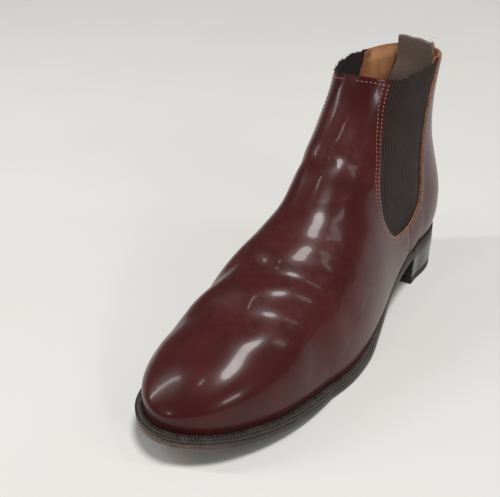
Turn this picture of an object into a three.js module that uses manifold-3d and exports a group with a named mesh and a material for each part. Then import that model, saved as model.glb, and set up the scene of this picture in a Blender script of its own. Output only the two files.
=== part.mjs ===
// Chelsea boot, the wearer's left, in millimetres: +Z up, toe towards -Y, outer side towards +X.
// It is built as a welted boot is. The upper's three layers follow one last surface, the bottom
// pieces follow the last's feather line, and the heel stack fills down to the ground.
import * as THREE from "three";
import { mergeVertices } from "three/addons/utils/BufferGeometryUtils.js";
import Module from "manifold-3d";

const wasm = await Module();
wasm.setup();

// ---- overall sizes ----
const UPPER_LENGTH = 300; // heel datum to toe tip of the upper
const WIDTH_GRADE = 1; // 1 is the standard fitting; the last's half widths are multiplied by it
const SHAFT_HEIGHT = 163; // topline at the gores, above the floor

// ---- materials' thicknesses ----
const CLEARANCE = 0.3; // between pieces that touch
const LEATHER = 1.4;
const BACKING = 1.4; // gores, puff, counter and interlinings
const LINING = 1.3;
const INSOLE = 3;
const SOCK = 1;
const WELT = 2.4;
const OUTSOLE = 4;
const LIFT = 4.8;
const TOP_PIECE = 6;
const SHANK = 1.2;

// ---- widths and places ----
const WELT_MARGIN = 4.2; // how far the sole stands out at the forepart
const WAIST_MARGIN = 0.3;
const BALL_EXTRA = 0.8; // and a little more in front of the waist
const HEEL_MARGIN = 1.2;
const WELT_INSIDE = 6; // the welt's reach under the upper
const RIB_WIDTH = 3;
const HEEL_BREAST = 61; // front face of the heel, from the heel datum
const HEEL_TAPER = 1; // how much smaller the heel is at the ground, all round
const SHANK_WIDTH = 14;
const SHANK_FROM = 42;
const SHANK_TO = 140;
const SOCK_TO = 150;
const SOCK_INSET = 0.5; // smaller than the insole, all round
const CORK_FROM = 24;
const PUFF_FROM = 234;
const COUNTER_TO = 62;
const COUNTER_TOP = 88;
const GORE_TUCK = 7; // elastic hidden behind the leather's edge
const NAIL_RADIUS = 1;
const NAIL_INSET = 11;
const NAIL_SUNK = 0.6; // how far up the insole's thickness a nail ends
const HEEL_MIDDLE = 0.62; // of the heel's length, where the nails are laid out from
const TAB_WIDTH = 27;
const TAB_PLY = 1.1;
const TAB_SEAT = 0.8; // between the strap's edges and the lining
const TAB_SLIT = 0.5; // between the two plies
const TAB_FREE = 30; // from the stitched line up to the fold
const TAB_FOOT = 12;
const TAB_PLACE = 24; // from the heel datum, where its middle is taken
const TAB_ABOVE = 8; // the fold above the topline

// ---- the last, as a boot of the standard length shows it: [place from the heel, value] ----
const LAST_LENGTH = 300; // the length that the places below are given for
const CENTRE_LINE = [[0, 4.5], [70, 0.5], [130, -0.5], [200, -2.5], [250, -3], [300, -5]];
const OUTER_HALF = [[45, 31.5], [75, 34], [105, 38.5], [135, 45], [165, 50], [190, 50.5], [208, 47.5]];
const INNER_HALF = [[45, 31.5], [75, 30], [105, 28.8], [135, 31.7], [165, 37.8], [195, 43], [222, 42]];
const OUTER_TOE = [2.15, 1.95]; // powers of the toe's outer curve
const INNER_TOE = [2.6, 1.85];
const CREST = [
  [50, 82], [80, 103], [105, 113], [130, 112], [150, 105], [170, 94.5], [190, 83.5], [210, 73.5],
  [230, 64.5], [250, 56.5], [268, 50],
];
const TOE_TIP = 27.5;
const TOE_CREST_POWER = 2.3;
const FEATHER = [
  [0, 34.4], [40, 31.8], [70, 28], [100, 21], [130, 13.6], [160, 8.3], [185, 7], [205, 7.4],
  [230, 10.2], [260, 14], [280, 17], [300, 20.8],
];
const BELLY = 9; // the last's widest level above the feather line

// ---- the shaft: [height, value] ----
const SHAFT_BACK = [
  [30, 4.5], [42, 0.8], [56, -1.4], [72, -1], [92, 5], [112, 11.7], [132, 14.4], [152, 13.8], [175, 11],
];
const SHAFT_FRONT = [[30, 104], [60, 117], [90, 126.5], [112, 127.3], [132, 118], [152, 106.5], [175, 97]];
const SHAFT_HALF = [
  [30, 31], [44, 34], [60, 34.6], [80, 32.5], [100, 30.8], [120, 30.3], [145, 30], [175, 31],
];
const SHAFT_LEAN = [[60, -0.2], [110, 0.3], [175, 1.8]];
const SHAFT_BLEND = [[30, 3], [60, 8], [100, 24], [175, 24]]; // softness of the join between shaft and foot
const SHAFT_CENTRE = 0.45; // the shaft's widest place, along its depth

// ---- side view outlines: [place from the heel, height] ----
const TOPLINE = [[-10, 4], [12, 3], [40, 0], [66, -2], [90, -3], [101, 1], [120, 3]]; // above SHAFT_HEIGHT
const GORE = [
  [83, 180], [91, 158.5], [99, 140.7], [108.5, 119], [115.5, 100], [116, 80], [108.5, 65], [97, 57],
  [83, 54.5], [69.5, 59.5], [60, 73], [57.3, 92], [55.6, 108], [53.5, 124], [49, 141], [39.5, 163], [33, 180],
];
const SIDE_SEAM = [[57, -5], [74, 48], [82, 75], [60, 230]];
const FOOT_STARTS = 62; // behind this the shaft alone shapes the heel
const FOOT_FADE = 0.02;
const GORE_DRAWN_FOR = 163; // the shaft height that the gore's points are given for
const GORE_MOVES_ABOVE = 120; // points above this follow the shaft height
const HUB = [95, 60]; // a place inside the side view that sees all of its outline

// ---- how finely the surfaces are divided ----
const COLUMNS = 25;
const ROWS = 13;
const STATIONS = 26;

// A smooth curve through points [x, y], straight past its ends.
function through(points) {
  const step = points.slice(1).map((p, i) => p[0] - points[i][0]);
  const rise = points.slice(1).map((p, i) => (p[1] - points[i][1]) / step[i]);
  const slope = points.map((_, i) => {
    if (i === 0) return rise[0];
    if (i === rise.length) return rise[i - 1];
    return (rise[i - 1] * step[i] + rise[i] * step[i - 1]) / (step[i - 1] + step[i]);
  });
  const last = points.length - 1;
  return (x) => {
    if (x <= points[0][0]) return points[0][1] + (x - points[0][0]) * slope[0];
    if (x >= points[last][0]) return points[last][1] + (x - points[last][0]) * slope[last];
    let i = 0;
    while (x > points[i + 1][0]) i += 1;
    const t = (x - points[i][0]) / step[i];
    const r = 1 - t;
    return points[i][1] * (1 + 2 * t) * r * r + step[i] * slope[i] * t * r * r
      + points[i + 1][1] * t * t * (3 - 2 * t) - step[i] * slope[i + 1] * t * t * r;
  };
}

const lengthGrade = UPPER_LENGTH / LAST_LENGTH;
const along = (points, grade = 1) => through(points.map(([s, v]) => [s * lengthGrade, v * grade]));
const across = (points, grade = 1) => through(points.map(([z, v]) => [z, v * grade]));

const centreLine = along(CENTRE_LINE);
const outerHalf = along(OUTER_HALF, WIDTH_GRADE);
const innerHalf = along(INNER_HALF, WIDTH_GRADE);
const crestHeight = along(CREST);
const feather = along(FEATHER);
const shaftBack = across(SHAFT_BACK, lengthGrade);
const shaftFront = across(SHAFT_FRONT, lengthGrade);
const shaftHalf = across(SHAFT_HALF, WIDTH_GRADE);
const shaftLean = across(SHAFT_LEAN);
const shaftBlend = across(SHAFT_BLEND);
const toplineAbove = along(TOPLINE);
const topline = (s) => SHAFT_HEIGHT + toplineAbove(s);

const clamp = THREE.MathUtils.clamp;
const lerp = THREE.MathUtils.lerp;

// Half width of the last's plan on one side (+1 outer, -1 inner).
function halfWidth(s, side) {
  const points = side > 0 ? OUTER_HALF : INNER_HALF;
  const [n, m] = side > 0 ? OUTER_TOE : INNER_TOE;
  const curve = side > 0 ? outerHalf : innerHalf;
  const ball = points[points.length - 1][0] * lengthGrade;
  const t = clamp((s - ball) / (UPPER_LENGTH - ball), 0, 1);
  return curve(Math.min(s, ball)) * Math.max(1e-9, 1 - t ** n) ** (1 / m);
}

function crest(s) {
  const start = CREST[CREST.length - 1][0] * lengthGrade;
  const t = clamp((s - start) / (UPPER_LENGTH - start), 0, 1);
  return TOE_TIP + (crestHeight(s) - TOE_TIP) * Math.sqrt(Math.max(1e-9, 1 - t ** TOE_CREST_POWER));
}

// Below zero inside the last, zero on its surface: the foot and the shaft, softly joined.
function last(x, s, z) {
  const centre = centreLine(s);
  const side = x >= centre ? 1 : -1;
  const half = Math.max(halfWidth(s, side), 1e-3);
  const belly = feather(s) + BELLY;
  const height = Math.max(crest(s) - belly, 1e-3);
  const v = z >= belly ? (z - belly) / height : (belly - z) / 40;
  const q = clamp(2 + (s / lengthGrade - 120) * 0.0025, 2, 2.3);
  const footReach = (Math.abs((x - centre) / half) ** q + v ** q) ** (1 / q);
  const behind = Math.max(0, FOOT_STARTS * lengthGrade - s);
  const solidFoot = (footReach - 1) * Math.min(Math.max(half, 3), Math.max(height, 3));
  const foot = Math.max(solidFoot + FOOT_FADE * behind * behind, s - UPPER_LENGTH);
  const back = shaftBack(z);
  const front = shaftFront(z);
  const middle = lerp(back, front, SHAFT_CENTRE);
  const deep = Math.abs(s - middle) / (s > middle ? front - middle : middle - back);
  const wide = Math.abs(x - centre - shaftLean(z)) / shaftHalf(z);
  const p = clamp(2.35 - (z - 30) * 0.002, 2.15, 2.35);
  const shaft = ((wide ** p + deep ** p) ** (1 / p) - 1) * shaftHalf(z);
  const k = clamp(shaftBlend(z), 3, 24);
  const h = clamp(0.5 + (0.5 * (shaft - foot)) / k, 0, 1);
  return shaft * (1 - h) + foot * h - k * h * (1 - h);
}

// The distance from start at which the last's surface is crossed, along a function of distance.
function crossing(value, far) {
  let low = 0;
  let high = far;
  for (let i = 0; i < 36; i += 1) {
    const mid = (low + high) / 2;
    if (value(mid) < 0) low = mid;
    else high = mid;
  }
  return low;
}

// The surface's x at a place in the side view, on one side.
function surfaceX(s, z, side) {
  const centre = centreLine(s);
  return centre + side * crossing((d) => last(centre + side * d, s, z), 90);
}

function normalAt(x, s, z) {
  const e = 0.05;
  const n = new THREE.Vector3(
    last(x + e, s, z) - last(x - e, s, z),
    last(x, s + e, z) - last(x, s - e, z),
    last(x, s, z + e) - last(x, s, z - e),
  );
  return n.normalize();
}

// A place on the side view's outline, seen from the hub at an angle.
function outlineAt(angle) {
  const [hubS, hubZ] = [HUB[0] * lengthGrade, HUB[1]];
  const at = (t) => [hubS + t * Math.cos(angle), hubZ + t * Math.sin(angle)];
  const t = crossing((d) => last(centreLine(at(d)[0]), ...at(d)), UPPER_LENGTH);
  return at(t);
}

// The angle at which the outline meets a height given as a function of s.
function angleWhere(height, low, high) {
  const above = (angle) => {
    const [s, z] = outlineAt(angle);
    return z - height(s);
  };
  const sign = above(low) < 0 ? 1 : -1;
  let [a, b] = [low, high];
  for (let i = 0; i < 40; i += 1) {
    const mid = (a + b) / 2;
    if (above(mid) * sign < 0) a = mid;
    else b = mid;
  }
  return (a + b) / 2;
}

// Splits a polyline by length, at fractions given by a function of 0..1.
function divided(points, count, spacing) {
  const lengths = [0];
  for (let i = 1; i < points.length; i += 1) {
    const [before, after] = [points[i - 1], points[i]];
    lengths.push(lengths[i - 1] + Math.hypot(after[0] - before[0], after[1] - before[1]));
  }
  const total = lengths[lengths.length - 1];
  return Array.from({ length: count + 1 }, (_, k) => {
    const want = total * spacing(k / count);
    let i = 1;
    while (i < lengths.length - 1 && lengths[i] < want) i += 1;
    const t = (want - lengths[i - 1]) / (lengths[i] - lengths[i - 1]);
    return [lerp(points[i - 1][0], points[i][0], t), lerp(points[i - 1][1], points[i][1], t)];
  });
}

const fine = Array.from({ length: 401 }, (_, i) => i / 400);
const toeAngle = angleWhere(feather, -0.6, 0.3);
const frontAngle = angleWhere(topline, 0.9, 2.0);
const backAngle = angleWhere(topline, 2.6, 1.75);
const heelAngle = angleWhere(feather, 3.7, 3.0);

const rounded = (t) => 0.15 * t + 0.85 * (1 - Math.cos(Math.PI * t)) / 2;
const ridge = divided(fine.map((t) => outlineAt(lerp(toeAngle, frontAngle, t))), ROWS, (t) => t ** 1.4);
const heelCurve = divided(fine.map((t) => outlineAt(lerp(heelAngle, backAngle, t))), ROWS, (t) => t);
const between = (from, to, height) => fine.map((t) => {
  const s = lerp(from, to, t);
  return [s, height(s)];
});
const bottomEdge = divided(between(heelCurve[0][0], ridge[0][0], feather), COLUMNS, rounded);
const topEdge = divided(between(heelCurve[ROWS][0], ridge[ROWS][0], topline), COLUMNS, rounded);

// The side view's grid: a Coons patch between feather line, topline, heel curve and front ridge.
function sideView(i, j) {
  const [u, v] = [i / COLUMNS, j / ROWS];
  const value = (axis) => {
    const edges = (1 - v) * bottomEdge[i][axis] + v * topEdge[i][axis];
    const ends = (1 - rounded(u)) * heelCurve[j][axis] + rounded(u) * ridge[j][axis];
    const corners = (1 - v) * ((1 - rounded(u)) * heelCurve[0][axis] + rounded(u) * ridge[0][axis])
      + v * ((1 - rounded(u)) * heelCurve[ROWS][axis] + rounded(u) * ridge[ROWS][axis]);
    return edges + ends - corners;
  };
  return [value(0), value(1)];
}

// The ring of grid columns: from the toe ridge back along the outer side, and forward along the inner.
const ring = [];
for (let i = COLUMNS; i > 0; i -= 1) ring.push([i, 1]);
for (let i = 0; i < COLUMNS; i += 1) ring.push([i, -1]);
const skin = ring.map(([i, side]) => Array.from({ length: ROWS + 1 }, (_, j) => {
  const [s, z] = sideView(i, j);
  const onEdge = i === 0 || i === COLUMNS;
  return new THREE.Vector3(onEdge ? centreLine(s) : surfaceX(s, z, side), s, z);
}));
const surface = skin.map((column, c) => column.map((at, r) => {
  const round = skin[(c + 1) % skin.length][r].clone().sub(skin[(c + skin.length - 1) % skin.length][r]);
  const up = column[Math.min(r + 1, ROWS)].clone().sub(column[Math.max(r - 1, 0)]);
  return { at, out: up.cross(round).normalize() };
}));

// Vertices are held as (x, s, z); the toe points to -Y.
const place = (p) => [p.x, -p.y, p.z];

function meshOf(points, faces) {
  const geometry = new THREE.BufferGeometry();
  geometry.setAttribute("position", new THREE.Float32BufferAttribute(points.flatMap(place), 3));
  geometry.setIndex(faces.flat());
  return geometry;
}

function solidOf(geometry) {
  const bare = geometry.clone();
  bare.deleteAttribute("normal");
  bare.deleteAttribute("uv");
  const merged = mergeVertices(bare, 1e-4);
  return new wasm.Manifold(new wasm.Mesh({
    numProp: 3,
    vertProperties: new Float32Array(merged.attributes.position.array),
    triVerts: new Uint32Array(merged.index.array),
  }));
}

function geometryOf(solid) {
  const mesh = solid.getMesh();
  const geometry = new THREE.BufferGeometry();
  geometry.setAttribute("position", new THREE.BufferAttribute(new Float32Array(mesh.vertProperties), 3));
  geometry.setIndex(new THREE.BufferAttribute(new Uint32Array(mesh.triVerts), 1));
  geometry.computeVertexNormals();
  return geometry;
}

// One layer of the upper between two depths under the last's surface: a closed band.
function layer(outerDepth, innerDepth) {
  const points = [];
  const columns = surface.length;
  const index = (c, r, inner) => ((c % columns) * (ROWS + 1) + r) * 2 + (inner ? 1 : 0);
  for (const column of surface) {
    for (const { at, out } of column) {
      points.push(at.clone().addScaledVector(out, -outerDepth));
      points.push(at.clone().addScaledVector(out, -innerDepth));
    }
  }
  const faces = [];
  const quad = (a, b, c, d) => faces.push([a, b, c], [a, c, d]);
  for (let c = 0; c < columns; c += 1) {
    for (let r = 0; r < ROWS; r += 1) {
      quad(index(c, r), index(c + 1, r), index(c + 1, r + 1), index(c, r + 1));
      quad(index(c, r, true), index(c, r + 1, true), index(c + 1, r + 1, true), index(c + 1, r, true));
    }
    quad(index(c, 0, true), index(c + 1, 0, true), index(c + 1, 0), index(c, 0));
    quad(index(c, ROWS), index(c + 1, ROWS), index(c + 1, ROWS, true), index(c, ROWS, true));
  }
  return solidOf(meshOf(points, faces));
}

// A side view outline pushed through the boot, from x = low to x = high.
function prism(outline, low = -120, high = 120) {
  const shape = new THREE.Shape(outline.map(([s, z]) => new THREE.Vector2(s, z)));
  const geometry = new THREE.ExtrudeGeometry(shape, { depth: high - low, bevelEnabled: false });
  const across = new THREE.Matrix4().makeBasis(
    new THREE.Vector3(0, -1, 0),
    new THREE.Vector3(0, 0, 1),
    new THREE.Vector3(-1, 0, 0),
  );
  geometry.applyMatrix4(across).translate(high, 0, 0);
  return solidOf(geometry);
}

// Moves a closed outline outwards (it runs anticlockwise in s, z after signing its area).
function grown(outline, distance) {
  const count = outline.length;
  const area = outline.reduce((sum, [s, z], i) => {
    const [s2, z2] = outline[(i + 1) % count];
    return sum + s * z2 - s2 * z;
  }, 0);
  const turn = Math.sign(area);
  return outline.map(([s, z], i) => {
    const before = outline[(i + count - 1) % count];
    const after = outline[(i + 1) % count];
    const run = new THREE.Vector2(after[0] - before[0], after[1] - before[1]).normalize();
    return [s + turn * run.y * distance, z - turn * run.x * distance];
  });
}

// ---- the upper ----
const OUTER_IN = LEATHER;
const MIDDLE_OUT = OUTER_IN + CLEARANCE;
const MIDDLE_IN = MIDDLE_OUT + BACKING;
const LINING_OUT = MIDDLE_IN + CLEARANCE;
const LINING_IN = LINING_OUT + LINING;

const graded = (outline) => outline.map(([s, z]) => [s * lengthGrade, z]);
const raise = (z) => (z > GORE_MOVES_ABOVE ? z + SHAFT_HEIGHT - GORE_DRAWN_FOR : z);
const toTop = (outline) => outline.map(([s, z]) => [s * lengthGrade, raise(z)]);
const gorePoints = new THREE.SplineCurve(toTop(GORE).map(([s, z]) => new THREE.Vector2(s, z)));
const goreWindow = gorePoints.getPoints(36).map((p) => [p.x, p.y]);
const goreSolidOutline = grown(goreWindow, GORE_TUCK);

const far = 400;
const seam = graded(SIDE_SEAM);
const frontOfSeam = (gap) => [...seam.map(([s, z]) => [s + gap, z]), [far, 230], [far, -5]];
const backOfSeam = (gap) => [...seam.map(([s, z]) => [s - gap, z]).reverse(), [-far, -5], [-far, 230]];

const outerShell = layer(0, OUTER_IN);
const middleShell = layer(MIDDLE_OUT, MIDDLE_IN);
const liningShell = layer(LINING_OUT, LINING_IN);
const window = prism(goreWindow);
const half = CLEARANCE / 2;

const vamp = outerShell.intersect(prism(frontOfSeam(half))).subtract(window);
const quarter = outerShell.intersect(prism(backOfSeam(half))).subtract(window);
const vampLining = liningShell.intersect(prism(frontOfSeam(half))).subtract(window);
const quarterLining = liningShell.intersect(prism(backOfSeam(half))).subtract(window);

const goreOuter = middleShell.intersect(prism(goreSolidOutline, 0, 120));
const goreInner = middleShell.intersect(prism(goreSolidOutline, -120, 0));
const goreRoom = prism(grown(goreSolidOutline, CLEARANCE));
const puffFrom = PUFF_FROM * lengthGrade;
const counterTo = COUNTER_TO * lengthGrade;
const box = (s1, s2, z1, z2) => prism([[s1, z1], [s2, z1], [s2, z2], [s1, z2]]);
const toePuff = middleShell.intersect(box(puffFrom, far, -5, 230));
const frontBacking = middleShell.intersect(prism(frontOfSeam(half))).subtract(goreRoom);
const vampInterlining = frontBacking.subtract(box(puffFrom - CLEARANCE, far, -5, 230));
const backBacking = middleShell.intersect(prism(backOfSeam(half))).subtract(goreRoom);
const heelCounter = backBacking.intersect(box(-far, counterTo, -5, COUNTER_TOP));
const backstay = backBacking.intersect(box(-far, counterTo, COUNTER_TOP + CLEARANCE, 230));

// ---- the bottom: plan outlines at the feather line ----
// Each station holds the outer and the inner point; the first and last stations are single points.
const spread = Array.from({ length: STATIONS + 1 }, (_, i) => rounded(i / STATIONS));

function featherPlan() {
  const from = heelCurve[0][0];
  const to = ridge[0][0];
  const sides = [1, -1].map((side) => spread.map((t, i) => {
    const s = lerp(from, to, t);
    const tip = i === 0 || i === STATIONS;
    return new THREE.Vector2(tip ? centreLine(s) : surfaceX(s, feather(s), side), s);
  }));
  return [...sides[0], ...sides[1].slice(1, -1).reverse()];
}

// Moves a plan outwards (or inwards, below zero) by a distance that may depend on s.
function offsetPlan(plan, distance) {
  const count = plan.length;
  return plan.map((p, i) => {
    const run = plan[(i + 1) % count].clone().sub(plan[(i + count - 1) % count]).normalize();
    const d = typeof distance === "function" ? distance(p.y) : distance;
    return new THREE.Vector2(p.x + run.y * d, p.y - run.x * d);
  });
}

const upperPlan = featherPlan();
const soleMargin = along([
  [0, HEEL_MARGIN], [60, HEEL_MARGIN], [110, WAIST_MARGIN], [160, 2.8], [220, WELT_MARGIN], [305, WELT_MARGIN],
]);
const solePlan = offsetPlan(upperPlan, (s) => soleMargin(s) + (s > 0.5 * UPPER_LENGTH ? BALL_EXTRA : 0));
const outerRun = (plan) => plan.slice(0, STATIONS + 1);
const innerRun = (plan) => [plan[0], ...plan.slice(STATIONS + 1).reverse(), plan[STATIONS]];

// A solid under a plan, with its top and bottom given as heights along s.
function slab(outer, inner, top, bottom) {
  const rungs = outer.map((p, i) => [p, inner[i]]);
  const points = [];
  const rows = rungs.map(([a, b]) => {
    const ends = a.distanceTo(b) < 1e-6 ? [a] : [a, b];
    return ends.map((p) => {
      points.push(new THREE.Vector3(p.x, p.y, top(p.y)), new THREE.Vector3(p.x, p.y, bottom(p.y)));
      return points.length - 2;
    });
  });
  const faces = [];
  const quad = (a, b, c, d) => faces.push([a, b, c], [a, c, d]);
  for (let i = 0; i < rows.length - 1; i += 1) {
    const [r, n] = [rows[i], rows[i + 1]];
    const [a, b] = [r[0], r[r.length - 1]];
    const [c, d] = [n[0], n[n.length - 1]];
    if (a !== b) faces.push([a, b, d], [a + 1, d + 1, b + 1]);
    if (c !== d) faces.push([a, d, c], [a + 1, c + 1, d + 1]);
    quad(a, c, c + 1, a + 1);
    quad(d, b, b + 1, d + 1);
  }
  const [a, b] = [rows[0][0], rows[0][rows[0].length - 1]];
  if (a !== b) quad(b, a, a + 1, b + 1);
  const end = rows[rows.length - 1];
  const [c, d] = [end[0], end[end.length - 1]];
  if (c !== d) quad(c, d, d + 1, c + 1);
  return solidOf(meshOf(points, faces));
}

const platform = (plan, top, bottom) => slab(outerRun(plan), innerRun(plan), top, bottom);
const under = (depth) => (s) => feather(s) - depth;

const tall = 60;
const cutAcross = (s1, s2) => box(s1, s2, -tall, 230);
const insideUpper = LINING_IN + CLEARANCE * 2;
const WELT_TOP = CLEARANCE;
const WELT_BOTTOM = WELT_TOP + WELT;
const SOLE_TOP = WELT_BOTTOM + CLEARANCE;
const SOLE_BOTTOM = SOLE_TOP + OUTSOLE;
const breast = HEEL_BREAST * lengthGrade;

const insoleFull = platform(offsetPlan(upperPlan, -insideUpper), under(-INSOLE), under(0));
const sockPlan = offsetPlan(upperPlan, -insideUpper - SOCK_INSET);
const sockTop = under(-INSOLE - CLEARANCE - SOCK);
const sockLining = platform(sockPlan, sockTop, under(-INSOLE - CLEARANCE))
  .intersect(cutAcross(-far, SOCK_TO * lengthGrade));

const ringAt = (outside, inside) => platform(outside, under(WELT_TOP), under(WELT_BOTTOM))
  .subtract(platform(inside, under(WELT_TOP - 1), under(WELT_BOTTOM + 1)));
const weltRing = ringAt(solePlan, offsetPlan(upperPlan, -WELT_INSIDE));
const welt = weltRing.intersect(cutAcross(breast + half, far));
const heelRand = weltRing.intersect(cutAcross(-far, breast - half));
const ribOutside = WELT_INSIDE + CLEARANCE;
const ribRing = ringAt(
  offsetPlan(upperPlan, -ribOutside),
  offsetPlan(upperPlan, -ribOutside - RIB_WIDTH),
);
const insoleRib = ribRing.intersect(cutAcross(breast + half, far));

const shankSteps = 7;
function shankBar(room) {
  const from = SHANK_FROM * lengthGrade - room;
  const to = SHANK_TO * lengthGrade + room;
  const side = (sign) => Array.from({ length: shankSteps + 1 }, (_, i) => {
    const s = lerp(from, to, i / shankSteps);
    return new THREE.Vector2(centreLine(s) + sign * (SHANK_WIDTH / 2 + room), s);
  });
  return slab(side(1), side(-1), under(WELT_BOTTOM - SHANK - room), under(WELT_BOTTOM + room * 3));
}
const shank = shankBar(0);
const corkOutside = offsetPlan(upperPlan, -ribOutside - RIB_WIDTH - CLEARANCE);
const corkFiller = platform(corkOutside, under(WELT_TOP), under(WELT_BOTTOM))
  .intersect(cutAcross(CORK_FROM * lengthGrade, far))
  .subtract(shankBar(CLEARANCE));

const outsoleFull = platform(solePlan, under(SOLE_TOP), under(SOLE_BOTTOM));

// ---- the heel stack, from the ground up to the outsole ----
const ground = Math.min(...fine.map((t) => feather(lerp(0, UPPER_LENGTH, t)))) - SOLE_BOTTOM;
const level = (z) => () => z;

// The heel's plan at a height: the sole's back part, drawn in towards the ground.
const heelTop = feather(0) - SOLE_BOTTOM;
function heelPiece(top, bottom, z) {
  const drawnIn = HEEL_TAPER * (1 - (z - ground) / (heelTop - ground));
  const plan = offsetPlan(solePlan, -drawnIn);
  return platform(plan, top, bottom).intersect(cutAcross(-far, breast));
}
const topPieceTop = ground + TOP_PIECE;
const topPiece = heelPiece(level(topPieceTop), level(ground), ground + TOP_PIECE / 2);
const liftBase = (i) => topPieceTop + CLEARANCE + i * (LIFT + CLEARANCE);
const flatLift = (base) => heelPiece(level(base + LIFT), level(base), base + LIFT / 2);
const flatLifts = [0, 1].map((i) => flatLift(liftBase(i)));
const wedge = heelPiece(under(SOLE_BOTTOM + CLEARANCE), level(liftBase(2)), heelTop);

// ---- nails from the insole down through the stack ----
const nailPlan = offsetPlan(solePlan, -NAIL_INSET);
const heelPoints = nailPlan.filter((p) => p.y < breast - NAIL_INSET / 2);
const nailTurns = [-62, -31, 0, 31, 62].map(THREE.MathUtils.degToRad);
const heelMiddle = new THREE.Vector2(centreLine(breast / 2), breast * HEEL_MIDDLE);
const nailPlaces = nailTurns.map((turn) => {
  const aim = new THREE.Vector2(Math.sin(turn), -Math.cos(turn));
  return heelPoints.reduce((best, p) => {
    const off = (q) => q.clone().sub(heelMiddle).normalize().dot(aim);
    return off(p) > off(best) ? p : best;
  });
});
const nailBottom = liftBase(0) + LIFT / 2;
function nailAt(p, radius, extra) {
  const top = feather(p.y) + INSOLE * NAIL_SUNK + extra;
  const length = top - nailBottom + extra;
  const geometry = new THREE.CylinderGeometry(radius, radius, length, 12);
  geometry.rotateX(Math.PI / 2);
  geometry.translate(p.x, -p.y, top - length / 2);
  return solidOf(geometry);
}
const nails = nailPlaces.map((p) => nailAt(p, NAIL_RADIUS, 0));
const nailHoles = nailPlaces.map((p) => nailAt(p, NAIL_RADIUS + CLEARANCE, CLEARANCE));
const drilled = (solid) => nailHoles.reduce((left, hole) => left.subtract(hole), solid);

// ---- the pull tab: webbing folded double, flat across the back, its foot sewn to the lining ----
const tabHinge = topline(0) + TAB_ABOVE - TAB_FREE;
const tabMiddle = centreLine(TAB_PLACE * lengthGrade) + shaftLean(tabHinge);
const tabSides = [tabMiddle - TAB_WIDTH / 2, tabMiddle + TAB_WIDTH / 2];
const tabEdge = (z) => Math.max(...tabSides.map((x) => {
  const s = crossing((d) => -last(x, d - TAB_WIDTH, z), UPPER_LENGTH / 2) - TAB_WIDTH;
  return s + LINING_IN / Math.abs(normalAt(x, s, z).y);
}));
const tabHeights = [tabHinge - TAB_FOOT, tabHinge, (tabHinge + SHAFT_HEIGHT) / 2, SHAFT_HEIGHT];
const tabBack = Math.max(...tabHeights.map(tabEdge)) + TAB_SEAT;
const tabFront = tabBack + 2 * TAB_PLY + TAB_SLIT;
const tabTop = tabHinge + TAB_FREE;
const tabFold = tabTop - TAB_PLY;
const pullTab = prism([
  [tabBack, tabHinge + half], [tabBack + TAB_PLY, tabHinge + half], [tabBack + TAB_PLY, tabFold],
  [tabFront - TAB_PLY, tabFold], [tabFront - TAB_PLY, tabHinge + half], [tabFront, tabHinge + half],
  [tabFront, tabFold], [tabFront - TAB_PLY, tabTop], [tabBack + TAB_PLY, tabTop], [tabBack, tabFold],
], ...tabSides);
const pullTabFoot = prism([
  [tabBack, tabHinge - TAB_FOOT], [tabFront, tabHinge - TAB_FOOT],
  [tabFront, tabHinge - half], [tabBack, tabHinge - half],
], ...tabSides);

// ---- materials ----
const finish = (color, roughness, metalness = 0) =>
  new THREE.MeshStandardMaterial({ color, roughness, metalness });
const burgundy = () => finish(0x54282a, 0.28);
const elastic = () => finish(0x352c2b, 0.9);
const tanLeather = () => finish(0xb47b53, 0.6);
const webbingCloth = () => finish(0x5a4a45, 0.85);
const darkLeather = () => finish(0x2c2322, 0.45);
const board = () => finish(0xa98a68, 0.85);
const stiffener = () => finish(0xd8cdb8, 0.8);
const cork = () => finish(0x8c6239, 0.95);
const steel = () => finish(0x9a9a9c, 0.35, 1);
const rubber = () => finish(0x1b1a1a, 0.7);

const boot = new THREE.Group();
function add(name, solid, material) {
  const mesh = new THREE.Mesh(geometryOf(solid), material);
  mesh.name = name;
  boot.add(mesh);
}

add("vamp", vamp, burgundy());
add("quarter", quarter, burgundy());
add("gore_lateral", goreOuter, elastic());
add("gore_medial", goreInner, elastic());
add("vamp_lining", vampLining, tanLeather());
add("quarter_lining", quarterLining, tanLeather());
add("toe_puff", toePuff, stiffener());
add("vamp_interlining", vampInterlining, stiffener());
add("heel_counter", heelCounter, stiffener());
add("backstay_interlining", backstay, stiffener());
add("pull_tab", pullTab, webbingCloth());
add("pull_tab_foot", pullTabFoot, webbingCloth());
add("insole", drilled(insoleFull), board());
add("sock_lining", sockLining, tanLeather());
add("insole_rib", insoleRib, board());
add("welt", welt, darkLeather());
add("heel_rand", heelRand, darkLeather());
add("cork_filler", drilled(corkFiller), cork());
add("shank", shank, steel());
add("outsole", drilled(outsoleFull), darkLeather());
flatLifts.forEach((lift, i) => add(`heel_lift_${i + 1}`, drilled(lift), darkLeather()));
add("heel_lift_3", drilled(wedge), darkLeather());
add("top_piece", topPiece, rubber());
nails.forEach((nail, i) => add(`heel_nail_${i + 1}`, nail, steel()));

// The frame's origin is under the middle of the boot, on the floor.
const bounds = new THREE.Box3().setFromObject(boot);
const middle = bounds.getCenter(new THREE.Vector3());
boot.position.set(-middle.x, -middle.y, -bounds.min.z);
const part = new THREE.Group();
part.add(boot);

export default part;
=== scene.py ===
import math

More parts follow.
